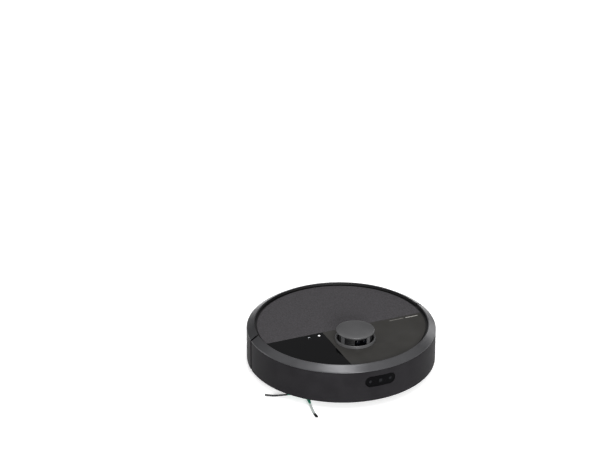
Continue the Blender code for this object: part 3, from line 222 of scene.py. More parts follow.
STEEL = drawn_steel("drawn_steel_can", "#a5a5a6", 0.32)
CONTACT = drawn_steel("nickel_plated_contact", "#b9b4a6", 0.22)

# %% [markdown]
# The lid has a coarser stipple than the rest, like fine sandpaper: small pits 1 mm apart that make the
# black plastic look greyer and warmer than the smooth fascia beside it. Two noises, one for the pits and
# one for the mottling between them, give it. The pits are drawn a little coarser than the real ones, so
# that they show in the picture.

# %% Stippled lid


def stippled(name, dark, light, pit_mm, mottle_mm):
    material, tree, shader, place = blank_material(name)
    shader.inputs["IOR"].default_value = 1.5
    shader.inputs["Specular IOR Level"].default_value = 0.3
    pits = add_node(tree, "ShaderNodeTexVoronoi", {"Scale": 1000 / pit_mm}, {"Vector": place})
    mottle = add_node(tree, "ShaderNodeTexNoise",
                      {"Scale": 1000 / mottle_mm, "Detail": 4.0, "Roughness": 0.7}, {"Vector": place})
    contrast = add_node(tree, "ShaderNodeMapRange", {"From Min": 0.34, "From Max": 0.66},
                        {"Value": mottle.outputs["Fac"]})
    colour = two_shades(tree, dark, light, contrast.outputs["Result"])
    rough = add_node(tree, "ShaderNodeMapRange", {"To Min": 0.5, "To Max": 0.7},
                     {"Value": mottle.outputs["Fac"]})
    fine = add_node(tree, "ShaderNodeBump", {"Strength": 0.7, "Distance": 0.00012},
                    {"Height": pits.outputs["Distance"]})
    both = add_node(tree, "ShaderNodeBump", {"Strength": 0.6, "Distance": 0.00025},
                    {"Height": mottle.outputs["Fac"], "Normal": fine.outputs["Normal"]})
    wire(tree, shader, Base_Color=colour, Roughness=rough.outputs["Result"], Normal=both.outputs["Normal"])
    return material


LID = stippled("sand_stippled_abs_lid", "#2a282a", "#464447", 1.0, 2.6)

# %% [markdown]
# Microfibre cloth is a pile of split yarns in tufts about 3 mm apart. Seen whole it is soft, grey and
# mottled, with sheen at grazing angles. A Voronoi pattern gives the tufts and noise gives the split ends.

# %% Microfibre


def microfibre(name, dark, light, tuft_mm):
    material, tree, shader, place = blank_material(name)
    shader.inputs["Roughness"].default_value = 0.95
    shader.inputs["Sheen Weight"].default_value = 0.5
    tufts = add_node(tree, "ShaderNodeTexVoronoi", {"Scale": 1000 / tuft_mm}, {"Vector": place})
    ends = add_node(tree, "ShaderNodeTexNoise", {"Scale": 3500 / tuft_mm, "Detail": 4.0}, {"Vector": place})
    mix = add_node(tree, "ShaderNodeMath", {"operation": "MULTIPLY_ADD", 1: 0.6},
                   {0: tufts.outputs["Distance"], 2: ends.outputs["Fac"]})
    shade = add_node(tree, "ShaderNodeMapRange", {"From Min": 0.4, "From Max": 1.0},
                     {"Value": mix.outputs[0]})
    colour = two_shades(tree, light, dark, shade.outputs["Result"])
    bump = add_node(tree, "ShaderNodeBump", {"Strength": 0.9, "Distance": 0.0012, "invert": True},
                    {"Height": mix.outputs[0]})
    wire(tree, shader, Base_Color=colour, Normal=bump.outputs["Normal"])
    return material


CLOTH = microfibre("grey_microfibre_pile", "#55565b", "#8b8c92", 3.0)
PAPER = microfibre("pleated_filter_paper", "#c4c6c2", "#e9eae6", 0.8)

# %% [markdown]
# The marks on the keys are lit from behind: white light through thin ink. The power mark is the brighter of
# the two.

# %% Lit ink


def lit(name, colour, strength):
    material = moulded(name, colour, colour, 0.3, grain_mm=3.0, depth_mm=0.001)
    shader = material.node_tree.nodes["Principled BSDF"]
    shader.inputs["Emission Color"].default_value = linear(colour)
    shader.inputs["Emission Strength"].default_value = strength
    return material


LAMP = lit("white_backlit_ink", "#ffffff", 1.3)
DIM_LAMP = lit("dim_backlit_ink", "#9da1a6", 0.3)
INK = moulded("pale_grey_pad_print", "#a8a6a2", "#b6b4b0", 0.5, grain_mm=0.6, depth_mm=0.004)
DIM_INK = moulded("mid_grey_pad_print", "#75736f", "#827f7b", 0.5, grain_mm=0.6, depth_mm=0.004)

# %% [markdown]
# Every carried-over part gets its finish from the kind of plastic or metal that the record says it is.

# %% Finishes for the carried-over parts
FINISH_OF_SLOT = {
    "shell": SHELL, "rim": RIM, "textured_lid": LID, "satin_top": FASCIA, "gloss_panel": GLOSS,
    "dark_window": WINDOW, "turret": TURRET, "frame_black": INNER, "chassis": CHASSIS, "steel": STEEL,
    "contact_metal": CONTACT, "belt_rubber": BELT, "battery_wrap": WRAP, "circuit_board": BOARD,
    "impeller": IMPELLER, "smoked_bin": SMOKE, "filter_paper": PAPER, "roller_rubber": ROLLER,
    "green_rubber": GREEN, "bristle": BRISTLE, "wheel_plastic": WHEEL, "wheel_tread": RUBBER,
    "mop_cloth": CLOTH,
}
slot_of = {entry["node"]: entry["material_slot"] for entry in frame["record"]["subparts"]}
for node_name, cad_object in frame["nodes"].items():
    cad_object.data.materials.clear()
    cad_object.data.materials.append(FINISH_OF_SLOT[slot_of[node_name]])
body_of_node = {node: body for body, nodes in frame["record"]["behaviour"]["bodies"].items() for node in nodes}
print(len(slot_of), "parts have a finish")

# %% [markdown]
# A finished mesh becomes an object that rides on the machine's body and stands for the plain part it
# replaces. Smooth shading with sharp edges kept suits both turned and flat pieces. The normals are weighted
# by face area: without that, the small bevels bend the normals of the wide flat faces beside them.

# %% Hand a piece to the frame


def place_piece(name, bm, material, stands_for, smooth_angle=35.0, replace=True):
    """Make the object; stands_for is the part whose body it takes, and which it hides when replace is set."""
    mesh = bpy.data.meshes.new(name)
    bm.to_mesh(mesh)
    bm.free()
    mesh.materials.append(material)
    mesh.shade_smooth()
    mesh.set_sharp_from_angle(angle=math.radians(smooth_angle))
    made = bpy.data.objects.new(name, mesh)
    bpy.context.scene.collection.objects.link(made)
    weighted = made.modifiers.new("weighted", "WEIGHTED_NORMAL")
    weighted.keep_sharp = True
    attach(made, body_of_node[stands_for])
    if replace:
        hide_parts(stands_for)
    return made


# %% Move, turn, bevel and join


def moved(bm, offset):
    bmesh.ops.translate(bm, vec=offset, verts=bm.verts)
    return bm


def rotated(bm, angle, axis):
    turn = Matrix.Rotation(angle, 3, axis)
    bmesh.ops.rotate(bm, cent=(0, 0, 0), matrix=turn, verts=bm.verts)
    return bm


def bevelled(bm, geometry, size, segments, affect="EDGES", **more):
    bmesh.ops.bevel(bm, geom=geometry, offset=size, offset_type="OFFSET", segments=segments, profile=0.5,
                    affect=affect, material=-1, **more)


def joined(bm, others):
    """Add the meshes of other pieces to the first one."""
    for other in others:
        scratch = bpy.data.meshes.new("joined")
        other.to_mesh(scratch)
        other.free()
        bm.from_mesh(scratch)
        bpy.data.meshes.remove(scratch)
    return bm


# %% [markdown]
# Round pieces start as a section: a face in the XZ plane whose corners are bevelled, so that every edge of
# the turned piece has the small radius that a mould leaves. Its outline is then spun about the axis. The
# section is spun and not the finished ring bevelled, because that would bevel hundreds of edges to get the
# same shape.

# %% Turn a section


def turned(section, steps=128, centre=(0.0, 0.0)):
    """Section points are (radius, height, corner radius)."""
    bm = bmesh.new()
    corners = [bm.verts.new((radius, 0.0, height)) for radius, height, _ in section]
    bm.faces.new(corners)
    for size in sorted({entry[2] for entry in section if entry[2] > 0}, reverse=True):
        group = [v for v, entry in zip(corners, section) if entry[2] == size and v.is_valid]
        bevelled(bm, group, size, 3, "VERTICES")
    bmesh.ops.delete(bm, geom=list(bm.faces), context="FACES_ONLY")
    on_axis = [e for e in bm.edges if all(v.co.x < 1e-7 for v in e.verts)]
    bmesh.ops.delete(bm, geom=on_axis, context="EDGES")
    bmesh.ops.spin(bm, geom=bm.verts[:] + bm.edges[:], cent=(0, 0, 0), axis=(0, 0, 1), angle=math.tau,
                   steps=steps, use_merge=True)
    bmesh.ops.remove_doubles(bm, verts=bm.verts, dist=1e-6)
    bmesh.ops.recalc_face_normals(bm, faces=bm.faces)
    moved(bm, (centre[0], centre[1], 0.0))
    return bm


# %% Cut a mesh along a plane and close it


def sliced(bm, point, outward):
    """Keep what lies behind the plane, and cap the cut."""
    geometry = bm.verts[:] + bm.edges[:] + bm.faces[:]
    bmesh.ops.bisect_plane(bm, geom=geometry, plane_co=point, plane_no=outward, clear_outer=True, dist=1e-7)
    rims = [e for e in bm.edges if e.is_boundary]
    bmesh.ops.holes_fill(bm, edges=rims, sides=0)
    bmesh.ops.recalc_face_normals(bm, faces=bm.faces)
    return bm


# %% [markdown]
# Holes are cut with an exact Boolean, which is applied at once. The tools are removed, so the finished
# piece is plain mesh. Each tool is a rounded block made by bevelling a cube.

# %% Cut holes


def rounded_block(size, centre, corner, axes="XYZ", segments=6):
    """A block whose edges along the named axes are rounded."""
    bm = bmesh.new()
    bmesh.ops.create_cube(bm, size=1.0)
    bmesh.ops.scale(bm, vec=size, verts=bm.verts)
    picked = []
    for edge in bm.edges:
        along = edge.verts[0].co - edge.verts[1].co
        axis = "XYZ"[max(range(3), key=lambda i: abs(along[i]))]
        if axis in axes:
            picked.append(edge)
    bevelled(bm, picked, corner, segments)
    moved(bm, centre)
    return bm


def carved(bm, tools):
    """Cut each tool's mesh out of the first mesh and return the result."""
    objects = []
    for index, source in enumerate([bm, *tools]):
        mesh = bpy.data.meshes.new(f"carving_{index}")
        source.to_mesh(mesh)
        source.free()
        thing = bpy.data.objects.new(f"carving_{index}", mesh)
        bpy.context.scene.collection.objects.link(thing)
        objects.append(thing)
    for tool in objects[1:]:
        modifier = objects[0].modifiers.new("cut", "BOOLEAN")
        modifier.operation = "DIFFERENCE"
        modifier.solver = "EXACT"
        modifier.object = tool
    bpy.context.view_layer.update()
    result = bmesh.new()
    result.from_object(objects[0], bpy.context.evaluated_depsgraph_get())
    for thing in objects:
        mesh = thing.data
        bpy.data.objects.remove(thing, do_unlink=True)
        bpy.data.meshes.remove(mesh)
    return result


# %% [markdown]
# The side wall is one turned ring with a small radius at its foot. The front part is the bumper and the
# rear part is fixed; both are slices of the same ring, so that they line up exactly across the split.

# %% Side wall ring


def wall_ring():
    """The top stands back a little, so that the seam below the rim is a dark line."""
    top = high("bumper_wall").z - 0.0004
    skin = 0.0025
    return turned([
        (BODY_RADIUS - 0.0002, top, 0.0010),
        (BODY_RADIUS, WALL_UNDER, 0.0016),
        (BODY_RADIUS - skin, WALL_UNDER, 0.0004),
        (BODY_RADIUS - skin, top, 0.0004),
    ], 240)


# %% Bumper wall with its window opening
window_low, window_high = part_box("sensor_window")
window_width = window_high.x - window_low.x
window_height = window_high.z - window_low.z
window_centre = ((window_low.x + window_high.x) / 2, -BODY_RADIUS, (window_low.z + window_high.z) / 2)
opening = rounded_block((window_width + 0.0006, 0.03, window_height + 0.0006), window_centre,
                        window_height / 2, axes="Y", segments=12)
bumper = carved(sliced(wall_ring(), (0, BUMPER_END - SPLIT_RADIUS, 0), (0, 1, 0)), [opening])
place_piece("bumper_shell", bumper, SHELL, "bumper_wall", smooth_angle=30)

# %% [markdown]
# The window is a dark polycarbonate lens: it looks black, but the camera and the infrared lamps behind it
# show as slightly different blacks. A pill with a crowned edge, a round lens and two small lamps are
# enough.

# %% Sensor window


def pill(width, height, depth, centre, edge, segments=12):
    bm = rounded_block((width, depth, height), (0, 0, 0), height / 2 - 0.00001, axes="Y", segments=segments)
    front = [e for e in bm.edges if all(v.co.y < -depth / 2 + 1e-6 for v in e.verts)]
    bevelled(bm, front, edge, 3)
    moved(bm, centre)
    return bm


def bend_to_wall(bm, radius):
    """Push each point back so that a flat piece at y = -radius follows the round wall."""
    for vert in bm.verts:
        vert.co.y += radius - math.sqrt(max(radius * radius - vert.co.x * vert.co.x, 0.0))
    return bm


pane_depth = 0.0020
pane_front = BODY_RADIUS - 0.0012
pane_middle = (0, -pane_front + pane_depth / 2, window_centre[2])
pane = pill(window_width, window_height, pane_depth, pane_middle, 0.0005)
columns = 24
for index in range(1, columns):
    cut_x = -window_width / 2 + window_width * index / columns
    bmesh.ops.bisect_plane(pane, geom=pane.verts[:] + pane.edges[:] + pane.faces[:], plane_co=(cut_x, 0, 0),
                           plane_no=(1, 0, 0), dist=1e-7)
place_piece("window_pane", bend_to_wall(pane, pane_front), WINDOW, "sensor_window")


def disc_on_window(name, x, radius, material, proud):
    bm = bmesh.new()
    bmesh.ops.create_cone(bm, cap_ends=True, segments=40, radius1=radius, radius2=radius * 0.86, depth=proud)
    rotated(bm, math.pi / 2, "X")
    y = -math.sqrt(pane_front ** 2 - x * x) - proud / 2 - 0.00002
    moved(bm, (x, y, window_centre[2]))
    place_piece(name, bm, material, "sensor_window", replace=False)


LENS_GLASS = moulded("coated_lens_glass", "#07080b", "#0b0c10", 0.06, grain_mm=9.0, depth_mm=0.001, spread=0.01,
                     Specular_IOR_Level=0.12)
disc_on_window("camera_bezel", 0.0, 0.0058, WINDOW, 0.0003)
disc_on_window("camera_lens", 0.0, 0.0036, LENS_GLASS, 0.0006)
disc_on_window("infrared_lamp_right", -0.0195, 0.0028, LENS_GLASS, 0.0003)
disc_on_window("infrared_lamp_left", 0.0195, 0.0028, LENS_GLASS, 0.0003)

# %% [markdown]
# At the back the wall has vents, two charging contacts and the window that looks for the dock. They are cut
# through one ring before its ends are closed.

# %% Rear wall


def rear_tool(node, grow=0.0003):
    low_corner, high_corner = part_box(node)
    size = high_corner - low_corner
    corner = size.z / 2 + grow - 0.00001 if node == "rear_window" else 0.0012
    centre = ((low_corner.x + high_corner.x) / 2, BODY_RADIUS, (low_corner.z + high_corner.z) / 2)
    return rounded_block((size.x + 2 * grow, 0.06, size.z + 2 * grow), centre, corner, axes="Y", segments=5)


rear_ring = sliced(wall_ring(), (0, REAR_START + SPLIT_RADIUS, 0), (0, -1, 0))
tools = [rear_tool(node) for node in ("dock_contact_left", "dock_contact_right", "rear_window")]
vent_z = middle("rear_window").z
for side in (-1, 1):
    for index in range(5):
        vent_x = side * (0.0473 + index * 0.0052)
        tools.append(rounded_block((0.0026, 0.06, 0.020), (vent_x, BODY_RADIUS, vent_z), 0.00125, axes="Y"))
place_piece("rear_shell", carved(rear_ring, tools), SHELL, "rear_wall", smooth_angle=30)

# %% [markdown]
# The foot of the rear wall turns in under the body to meet the pan. It is a flat ring of its own here,
# which keeps the wall's section simple.

# %% Rear foot
foot = turned([
    (BODY_RADIUS - 0.0024, WALL_UNDER + 0.0022, 0.0),
    (BODY_RADIUS - 0.0024, WALL_UNDER + 0.0002, 0.0),
    (high("base_pan").x + 0.0004, WALL_UNDER + 0.0002, 0.0004),
    (high("base_pan").x + 0.0004, WALL_UNDER + 0.0022, 0.0),
], 160)
place_piece("rear_foot", sliced(foot, (0, REAR_START, 0), (0, -1, 0)), SHELL, "rear_wall", replace=False)

# %% [markdown]
# The slanted rim is the brightest part of the machine: a satin-painted skin that faces the light all the
# way round. The lip that goes down from its inner edge is a near-black ring of its own, painted shade for
# the deep groove, so that the groove reads dark.

# %% Rims


RIM_SKIN = 0.0018
LIP_TOP = RIM_TOP - 0.0011


def rim_ring():
    return turned([
        (RIM_INNER, RIM_TOP, 0.0005),
        (RIM_INNER + 0.0012, RIM_TOP, 0.0007),
        (BODY_RADIUS, WALL_TOP + 0.0002, 0.0009),
        (BODY_RADIUS, WALL_TOP - 0.0010, 0.0002),
        (BODY_RADIUS - RIM_SKIN, WALL_TOP - 0.0010, 0.0002),
        (RIM_INNER + RIM_SKIN + 0.0008, RIM_TOP - RIM_SKIN, 0.0002),
        (RIM_INNER, LIP_TOP, 0.0002),
    ], 240)


def lip_ring():
    lip_under = DECK_TOP - 0.0005
    return turned([
        (RIM_INNER + 0.0001, LIP_TOP - 0.0001, 0.0),
        (RIM_INNER + RIM_SKIN, RIM_TOP - RIM_SKIN - 0.0003, 0.0),
        (RIM_INNER + RIM_SKIN, lip_under, 0.0003),
        (RIM_INNER + 0.0001, lip_under, 0.0003),
    ], 240)


bumper_side = ((0, BUMPER_END - SPLIT_RADIUS, 0), (0, 1, 0))
rear_side = ((0, REAR_START + SPLIT_RADIUS, 0), (0, -1, 0))
place_piece("bumper_rim_skin", sliced(rim_ring(), *bumper_side), RIM, "bumper_rim")
place_piece("rear_rim_skin", sliced(rim_ring(), *rear_side), RIM, "rear_rim")
# the lips take the near-black inner finish as painted shade for the deep groove
place_piece("bumper_rim_lip", sliced(lip_ring(), *bumper_side), INNER, "bumper_rim", replace=False)
place_piece("rear_rim_lip", sliced(lip_ring(), *rear_side), INNER, "rear_rim", replace=False)

# %% [markdown]
# Through the split between the bumper and the rear shell, one would look into the machine. A near-black
# sheet behind it is painted shade: it stands for the shade inside the split, so that the split is a dark
# line. It belongs to the chassis, and the bumper slides past it.

# %% Painted shade sheet behind the split
shade_sheet = turned([
    (BODY_RADIUS - 0.0042, WALL_UNDER + 0.004, 0.0),
    (BODY_RADIUS - 0.0042, WALL_TOP - 0.002, 0.0),
    (RIM_INNER + 0.0042, RIM_TOP - 0.0046, 0.0),
    (RIM_INNER + 0.0034, RIM_TOP - 0.0046, 0.0),
    (BODY_RADIUS - 0.0050, WALL_TOP - 0.0025, 0.0),
    (BODY_RADIUS - 0.0050, WALL_UNDER + 0.004, 0.0),
], 240)
split_middle, sheet_half = (BUMPER_END + REAR_START) / 2, 0.010
shade_sheet = sliced(shade_sheet, (0, split_middle + sheet_half, 0), (0, 1, 0))
shade_sheet = sliced(shade_sheet, (0, split_middle - sheet_half, 0), (0, -1, 0))
# painted shade: a near-black sheet that stands for the shade inside the split
place_piece("split_painted_shade_sheet", shade_sheet, PAINTED_SHADE_SHEET, "chassis_wall", replace=False)

# %% [markdown]
# The three top plates lie in one plane with hairline seams. Each is a disc sliced along its seams and then
# bevelled, so that the seams catch a thin line of light, as the moulded edges do.

# %% Top plates


def deck_disc():
    return turned([(0.0, DECK_TOP, 0.0), (DECK_RADIUS, DECK_TOP, 0.0), (DECK_RADIUS, DECK_UNDER, 0.0),
                   (0.0, DECK_UNDER, 0.0)], 200)


def round_hole(centre, radius, segments):
    """A cylinder through the top plates."""
    bm = bmesh.new()
    bmesh.ops.create_cone(bm, cap_ends=True, segments=segments, radius1=radius, radius2=radius, depth=0.02)
    return moved(bm, (centre.x, centre.y, DECK_TOP))


def soften_top(bm, size):
    """Bevel the sharp edges that lie in the top face."""
    bmesh.ops.dissolve_limit(bm, angle_limit=math.radians(0.5), verts=bm.verts, edges=bm.edges)
    top = [e for e in bm.edges if all(abs(v.co.z - DECK_TOP) < 1e-6 for v in e.verts)
           and len(e.link_faces) == 2 and e.calc_face_angle() > 0.5]
    bevelled(bm, top, size, 2)
    return bm


panel_high = high("control_panel")
fascia_low, fascia_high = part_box("front_fascia")
lid_plate = sliced(deck_disc(), (0, LID_EDGE, 0), (0, -1, 0))
place_piece("lid_plate", soften_top(lid_plate, 0.0004), LID, "lid_cover")

fascia = sliced(deck_disc(), (0, fascia_high.y, 0), (0, 1, 0))
fascia = sliced(fascia, (fascia_low.x, 0, 0), (-1, 0, 0))
turret_centre = middle("turret_cap")
ring_radius = high("turret_ring").x
ring_hole = round_hole(turret_centre, ring_radius - 0.0007, 96)
place_piece("fascia_plate", carved(soften_top(fascia, 0.0003), [ring_hole]), FASCIA, "front_fascia")

panel = sliced(deck_disc(), (0, panel_high.y, 0), (0, 1, 0))
panel = sliced(panel, (panel_high.x, 0, 0), (1, 0, 0))
KEY_GAP = 0.00025
key_holes = [round_hole(middle(node), half_width(node) + KEY_GAP, 64)
             for node in ("power_button", "home_button")]
place_piece("gloss_panel_plate", carved(soften_top(panel, 0.00025), key_holes), GLOSS, "control_panel")

# %% [markdown]
# The keys are round, flush and as glossy as the panel, so in the picture only their lit marks show. One
# mark is the usual ring and bar for power, and the other is a small house for "go home".

# %% Keys


def key(node):
    centre = middle(node)
    radius = half_width(node)
    return turned([(0.0, DECK_TOP, 0.0), (radius, DECK_TOP, 0.00025), (radius, DECK_TOP - 0.0016, 0.0),
                   (0.0018, DECK_TOP - 0.0016, 0.0), (0.0018, low(node).z, 0.0), (0.0, low(node).z, 0.0)],
                  64, (centre.x, centre.y))


place_piece("power_key", key("power_button"), GLOSS, "power_button")
place_piece("home_key", key("home_button"), GLOSS, "home_button")
MARK_HEIGHT = 0.00006


def mark_from(bm, name, material, node):
    moved(bm, (middle(node).x, middle(node).y, DECK_TOP + 0.00002))
    place_piece(name, bm, material, node, replace=False)


power_ring = turned([(0.0014, MARK_HEIGHT, 0.0), (0.0020, MARK_HEIGHT, 0.0), (0.0020, 0.0, 0.0),
                     (0.0014, 0.0, 0.0)], 48)
mark_from(power_ring, "power_mark_ring", LAMP, "power_button")
power_bar = rounded_block((0.0006, 0.0014, MARK_HEIGHT), (0, 0.0, MARK_HEIGHT / 2), 0.0002, axes="Z",
                          segments=3)
mark_from(power_bar, "power_mark_bar", LAMP, "power_button")


def house():
    """A pentagon roof and walls with a doorway: a flat face extruded to the ink's height."""
    half = 0.0019
    outline = [(-half, -0.0014), (-0.0005, -0.0014), (-0.0005, -0.0002), (0.0005, -0.0002), (0.0005, -0.0014),
               (half, -0.0014), (half, 0.0004), (0.0, 0.0019), (-half, 0.0004)]
    bm = bmesh.new()
    face = bm.faces.new([bm.verts.new((x, y, 0.0)) for x, y in outline])
    grown = bmesh.ops.extrude_face_region(bm, geom=[face])
    raised = [v for v in grown["geom"] if isinstance(v, bmesh.types.BMVert)]
    bmesh.ops.translate(bm, vec=(0, 0, MARK_HEIGHT), verts=raised)
    bmesh.ops.recalc_face_normals(bm, faces=bm.faces)
    return bm


mark_from(house(), "home_mark", DIM_LAMP, "home_button")

# %% [markdown]
# The maker's printing on the fascia is replaced by two plain bars of pad-printed ink, a dim one and a
# bright one.

# %% Printed bars


def printed_bar(name, start_x, end_x, width, material):
    centre = ((start_x + end_x) / 2, LID_EDGE - 0.0082, DECK_TOP + 0.00004)
    bm = rounded_block((end_x - start_x, width, 0.00006), centre, width * 0.3, axes="Z", segments=3)
    place_piece(name, bm, material, "front_fascia", replace=False)


printed_bar("printed_bar_inner", 0.088, 0.116, 0.0013, DIM_INK)
printed_bar("printed_bar_outer", 0.1205, 0.1450, 0.0016, INK)

# %% [markdown]
# The turret is a thin crowned cap on flat posts. Through the slot below it the spinning head shows, with
# its dark lens in a pocket. The ring round its foot has a thin bright edge.

# %% Turret cap


def turret_cap():
    top = high("turret_cap").z
    edge_top = DECK_TOP + 0.0215
    edge_under = edge_top - 0.003
    radius = high("turret_cap").x
    section = [(0.0, top, 0.0), (radius * 0.55, top - 0.0005, 0.004), (radius * 0.86, top - 0.0015, 0.003),
               (radius, edge_top - 0.0006, 0.0010), (radius - 0.0004, edge_under, 0.0004),
               (0.0, edge_under, 0.0)]
    return turned(section, 128, (turret_centre.x, turret_centre.y))


place_piece("turret_lid", turret_cap(), TURRET, "turret_cap", smooth_angle=45)
POSTS = 4
post_inner, post_outer = 0.0318, 0.0334
for index in range(POSTS):
    turn = math.radians(22.0 + 360.0 * index / POSTS)
    tall = DECK_TOP + 0.0190 - DECK_UNDER
    post_middle = ((post_inner + post_outer) / 2, 0, 0)
    post = rounded_block((post_outer - post_inner, 0.0075, tall), post_middle, 0.0004, axes="Z", segments=2)
    rotated(post, turn, "Z")
    moved(post, (turret_centre.x, turret_centre.y, DECK_UNDER + tall / 2))
    place_piece(f"turret_post_{index + 1}", post, TURRET, "turret_cap", replace=False)

# %% Turret ring
ring_top = high("turret_ring").z
ring = turned([
    (ring_radius - 0.0035, ring_top - 0.0010, 0.0003), (ring_radius - 0.0016, ring_top, 0.0005),
    (ring_radius - 0.0002, ring_top - 0.0006, 0.0005), (ring_radius, DECK_TOP + 0.0003, 0.0002),
    (ring_radius - 0.0010, DECK_TOP + 0.0003, 0.0), (ring_radius - 0.0010, DECK_UNDER, 0.0002),
    (ring_radius - 0.0035, DECK_UNDER, 0.0002),
], 128, (turret_centre.x, turret_centre.y))
place_piece("turret_foot_ring", ring, TURRET, "turret_ring")

# %% Spinning head with its lens
lens_low, lens_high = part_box("lidar_lens")
lens_size = lens_high - lens_low
lens_middle = middle("lidar_lens")


def lidar_head():
    head_top = high("lidar_head").z
    radius = high("lidar_head").x
    shell_under = DECK_UNDER + 0.0006
    bm = turned([(0.0, head_top, 0.0), (radius, head_top, 0.0010), (radius, head_top - 0.0050, 0.0002),
                 (radius - 0.0006, head_top - 0.0056, 0.0002), (radius - 0.0006, head_top - 0.0120, 0.0002),
                 (radius, head_top - 0.0126, 0.0002), (radius, shell_under, 0.0006), (0.0217, shell_under, 0.0),
                 (0.0217, low("lidar_head").z, 0.0), (0.0083, low("lidar_head").z, 0.0),
                 (0.0083, shell_under, 0.0), (0.0, shell_under, 0.0)], 96, (turret_centre.x, turret_centre.y))
    pocket = rounded_block((lens_size.x + 0.0006, 0.0085, lens_size.z + 0.0006),
                           (lens_middle.x, lens_high.y - 0.0040, lens_middle.z), 0.0015, axes="Y", segments=4)
    return carved(bm, [pocket])


place_piece("spinner", lidar_head(), INNER, "lidar_head")
lens_plate = rounded_block((lens_size.x, 0.0022, lens_size.z), (0.0, lens_high.y - 0.0012, lens_middle.z),
                           0.0014, axes="Y", segments=4)
place_piece("lens_plate", lens_plate, WINDOW, "lidar_lens")
for index, (offset, radius) in enumerate(((-0.0062, 0.0042), (0.0066, 0.0030)), 1):
    eye = bmesh.new()
    bmesh.ops.create_uvsphere(eye, u_segments=28, v_segments=14, radius=radius)
    bmesh.ops.scale(eye, vec=(1.0, 0.35, 1.0), verts=eye.verts)
    moved(eye, (offset, lens_high.y - 0.0024, lens_middle.z))
    place_piece(f"lidar_eye_{index}", eye, LENS_GLASS, "lidar_lens", replace=False)

# %% [markdown]
# The finned roller is moulded polyurethane on a plastic core. Its fins lie in a V, so that hair is swept to
# the middle. A straight fin would be one extrusion; for the V the section is extruded in many short steps,
# and each step turns a little about the roller's axis.

# %% Roller


def along_x(bm, centre):
    """Turn a piece made about Z so that its axis lies along X, and put its middle in place."""
    rotated(bm, math.pi / 2, "Y")
    moved(bm, centre)
    return bm


roller_low, roller_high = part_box("main_roller")
brush_centre = Vector((0.0, (roller_low.y + roller_high.y) / 2, low("main_roller").z + 0.0187))
ROLLER_HALF, AXLE_HALF = 0.079, roller_high.x
CORE_RADIUS, FIN_RADIUS, FIN_COUNT, FIN_STEPS = 0.0098, 0.0188, 7, 24
core = turned([(0.0, AXLE_HALF, 0.0), (0.0028, AXLE_HALF, 0.0004), (0.0028, ROLLER_HALF, 0.0),
               (CORE_RADIUS, ROLLER_HALF, 0.0008), (CORE_RADIUS, -ROLLER_HALF, 0.0008),
               (0.0028, -ROLLER_HALF, 0.0), (0.0028, -AXLE_HALF, 0.0004), (0.0, -AXLE_HALF, 0.0)], 48)
place_piece("roller_core", along_x(core, brush_centre), CHASSIS, "main_roller")


def roller_fins(sweep=math.radians(34.0)):
    bm = bmesh.new()
    step = 2 * ROLLER_HALF / FIN_STEPS
    for index in range(FIN_COUNT):
        start = Matrix.Rotation(math.tau * index / FIN_COUNT, 3, "X")
        outline = [(-0.0014, CORE_RADIUS - 0.0006), (-0.0007, FIN_RADIUS - 0.0006), (0.0, FIN_RADIUS),
                   (0.0007, FIN_RADIUS - 0.0006), (0.0014, CORE_RADIUS - 0.0006)]
        face = bm.faces.new([bm.verts.new(start @ Vector((-ROLLER_HALF, y, z))) for y, z in outline])
        for place in range(FIN_STEPS):
            grown = bmesh.ops.extrude_face_region(bm, geom=[face])["geom"]
            face = next(g for g in grown if isinstance(g, bmesh.types.BMFace))
            direction = 1 if place < FIN_STEPS / 2 else -1
            turn = Matrix.Rotation(direction * sweep * 2 / FIN_STEPS, 3, "X")
            bmesh.ops.rotate(bm, cent=(0, 0, 0), matrix=turn, verts=face.verts)
            bmesh.ops.translate(bm, vec=(step, 0, 0), verts=face.verts)
    bmesh.ops.recalc_face_normals(bm, faces=bm.faces)
    moved(bm, brush_centre)
    return bm


place_piece("roller_fins", roller_fins(), ROLLER, "main_roller", replace=False, smooth_angle=50)

# %% [markdown]
# Each tuft of the side brush is a bundle of nylon filaments in a rubber arm. A filament is made once, as a
# five-sided tube drawn along X, and copied with its own spread, bend and droop. One bundle is pale with
# black tips and the others are dark, so the filaments are coloured along their length from a vertex
# attribute.

# %% Tuft material


def tipped_bristle(name, root, tip):
    material = moulded(name, root, tip, 0.35, grain_mm=2.0, depth_mm=0.005)
    tree = material.node_tree
    along = add_node(tree, "ShaderNodeAttribute", {"attribute_name": "along"})
    edge = add_node(tree, "ShaderNodeMapRange", {"From Min": 0.66, "From Max": 0.80},
                    {"Value": along.outputs["Fac"]})
    wire(tree, tree.nodes["Principled BSDF"], Base_Color=two_shades(tree, root, tip, edge.outputs["Result"]))
    return material


PALE_TUFT = tipped_bristle("clear_nylon_with_black_tips", "#a3a8a6", "#141415")
DARK_TUFT = tipped_bristle("black_nylon_filaments", "#1c1d1e", "#2e2f30")

# %% Side brush
hub_centre = middle("side_brush_hub")
hub_centre.z = 0.0
ARM_REACH, TIP_REACH = 0.034, 0.0758
ARM_ANGLES = (157.0, 257.5, 26.0)
TIP_BENDS = (3.8, -3.5, 5.0)
arm_height = middle("side_brush_spider").z
hub_top = high("side_brush_spider").z + 0.0043


def side_hub():
    stem_top = high("side_brush_hub").z
    under = low("side_brush_hub").z
    return turned([(0.0, stem_top, 0.0), (0.003, stem_top, 0.0003), (0.003, hub_top, 0.0),
                   (0.0123, hub_top - 0.0003, 0.0008), (0.0125, under, 0.0010), (0.0, under, 0.0)], 48,
                  (hub_centre.x, hub_centre.y))


place_piece("side_hub", side_hub(), INNER, "side_brush_hub")


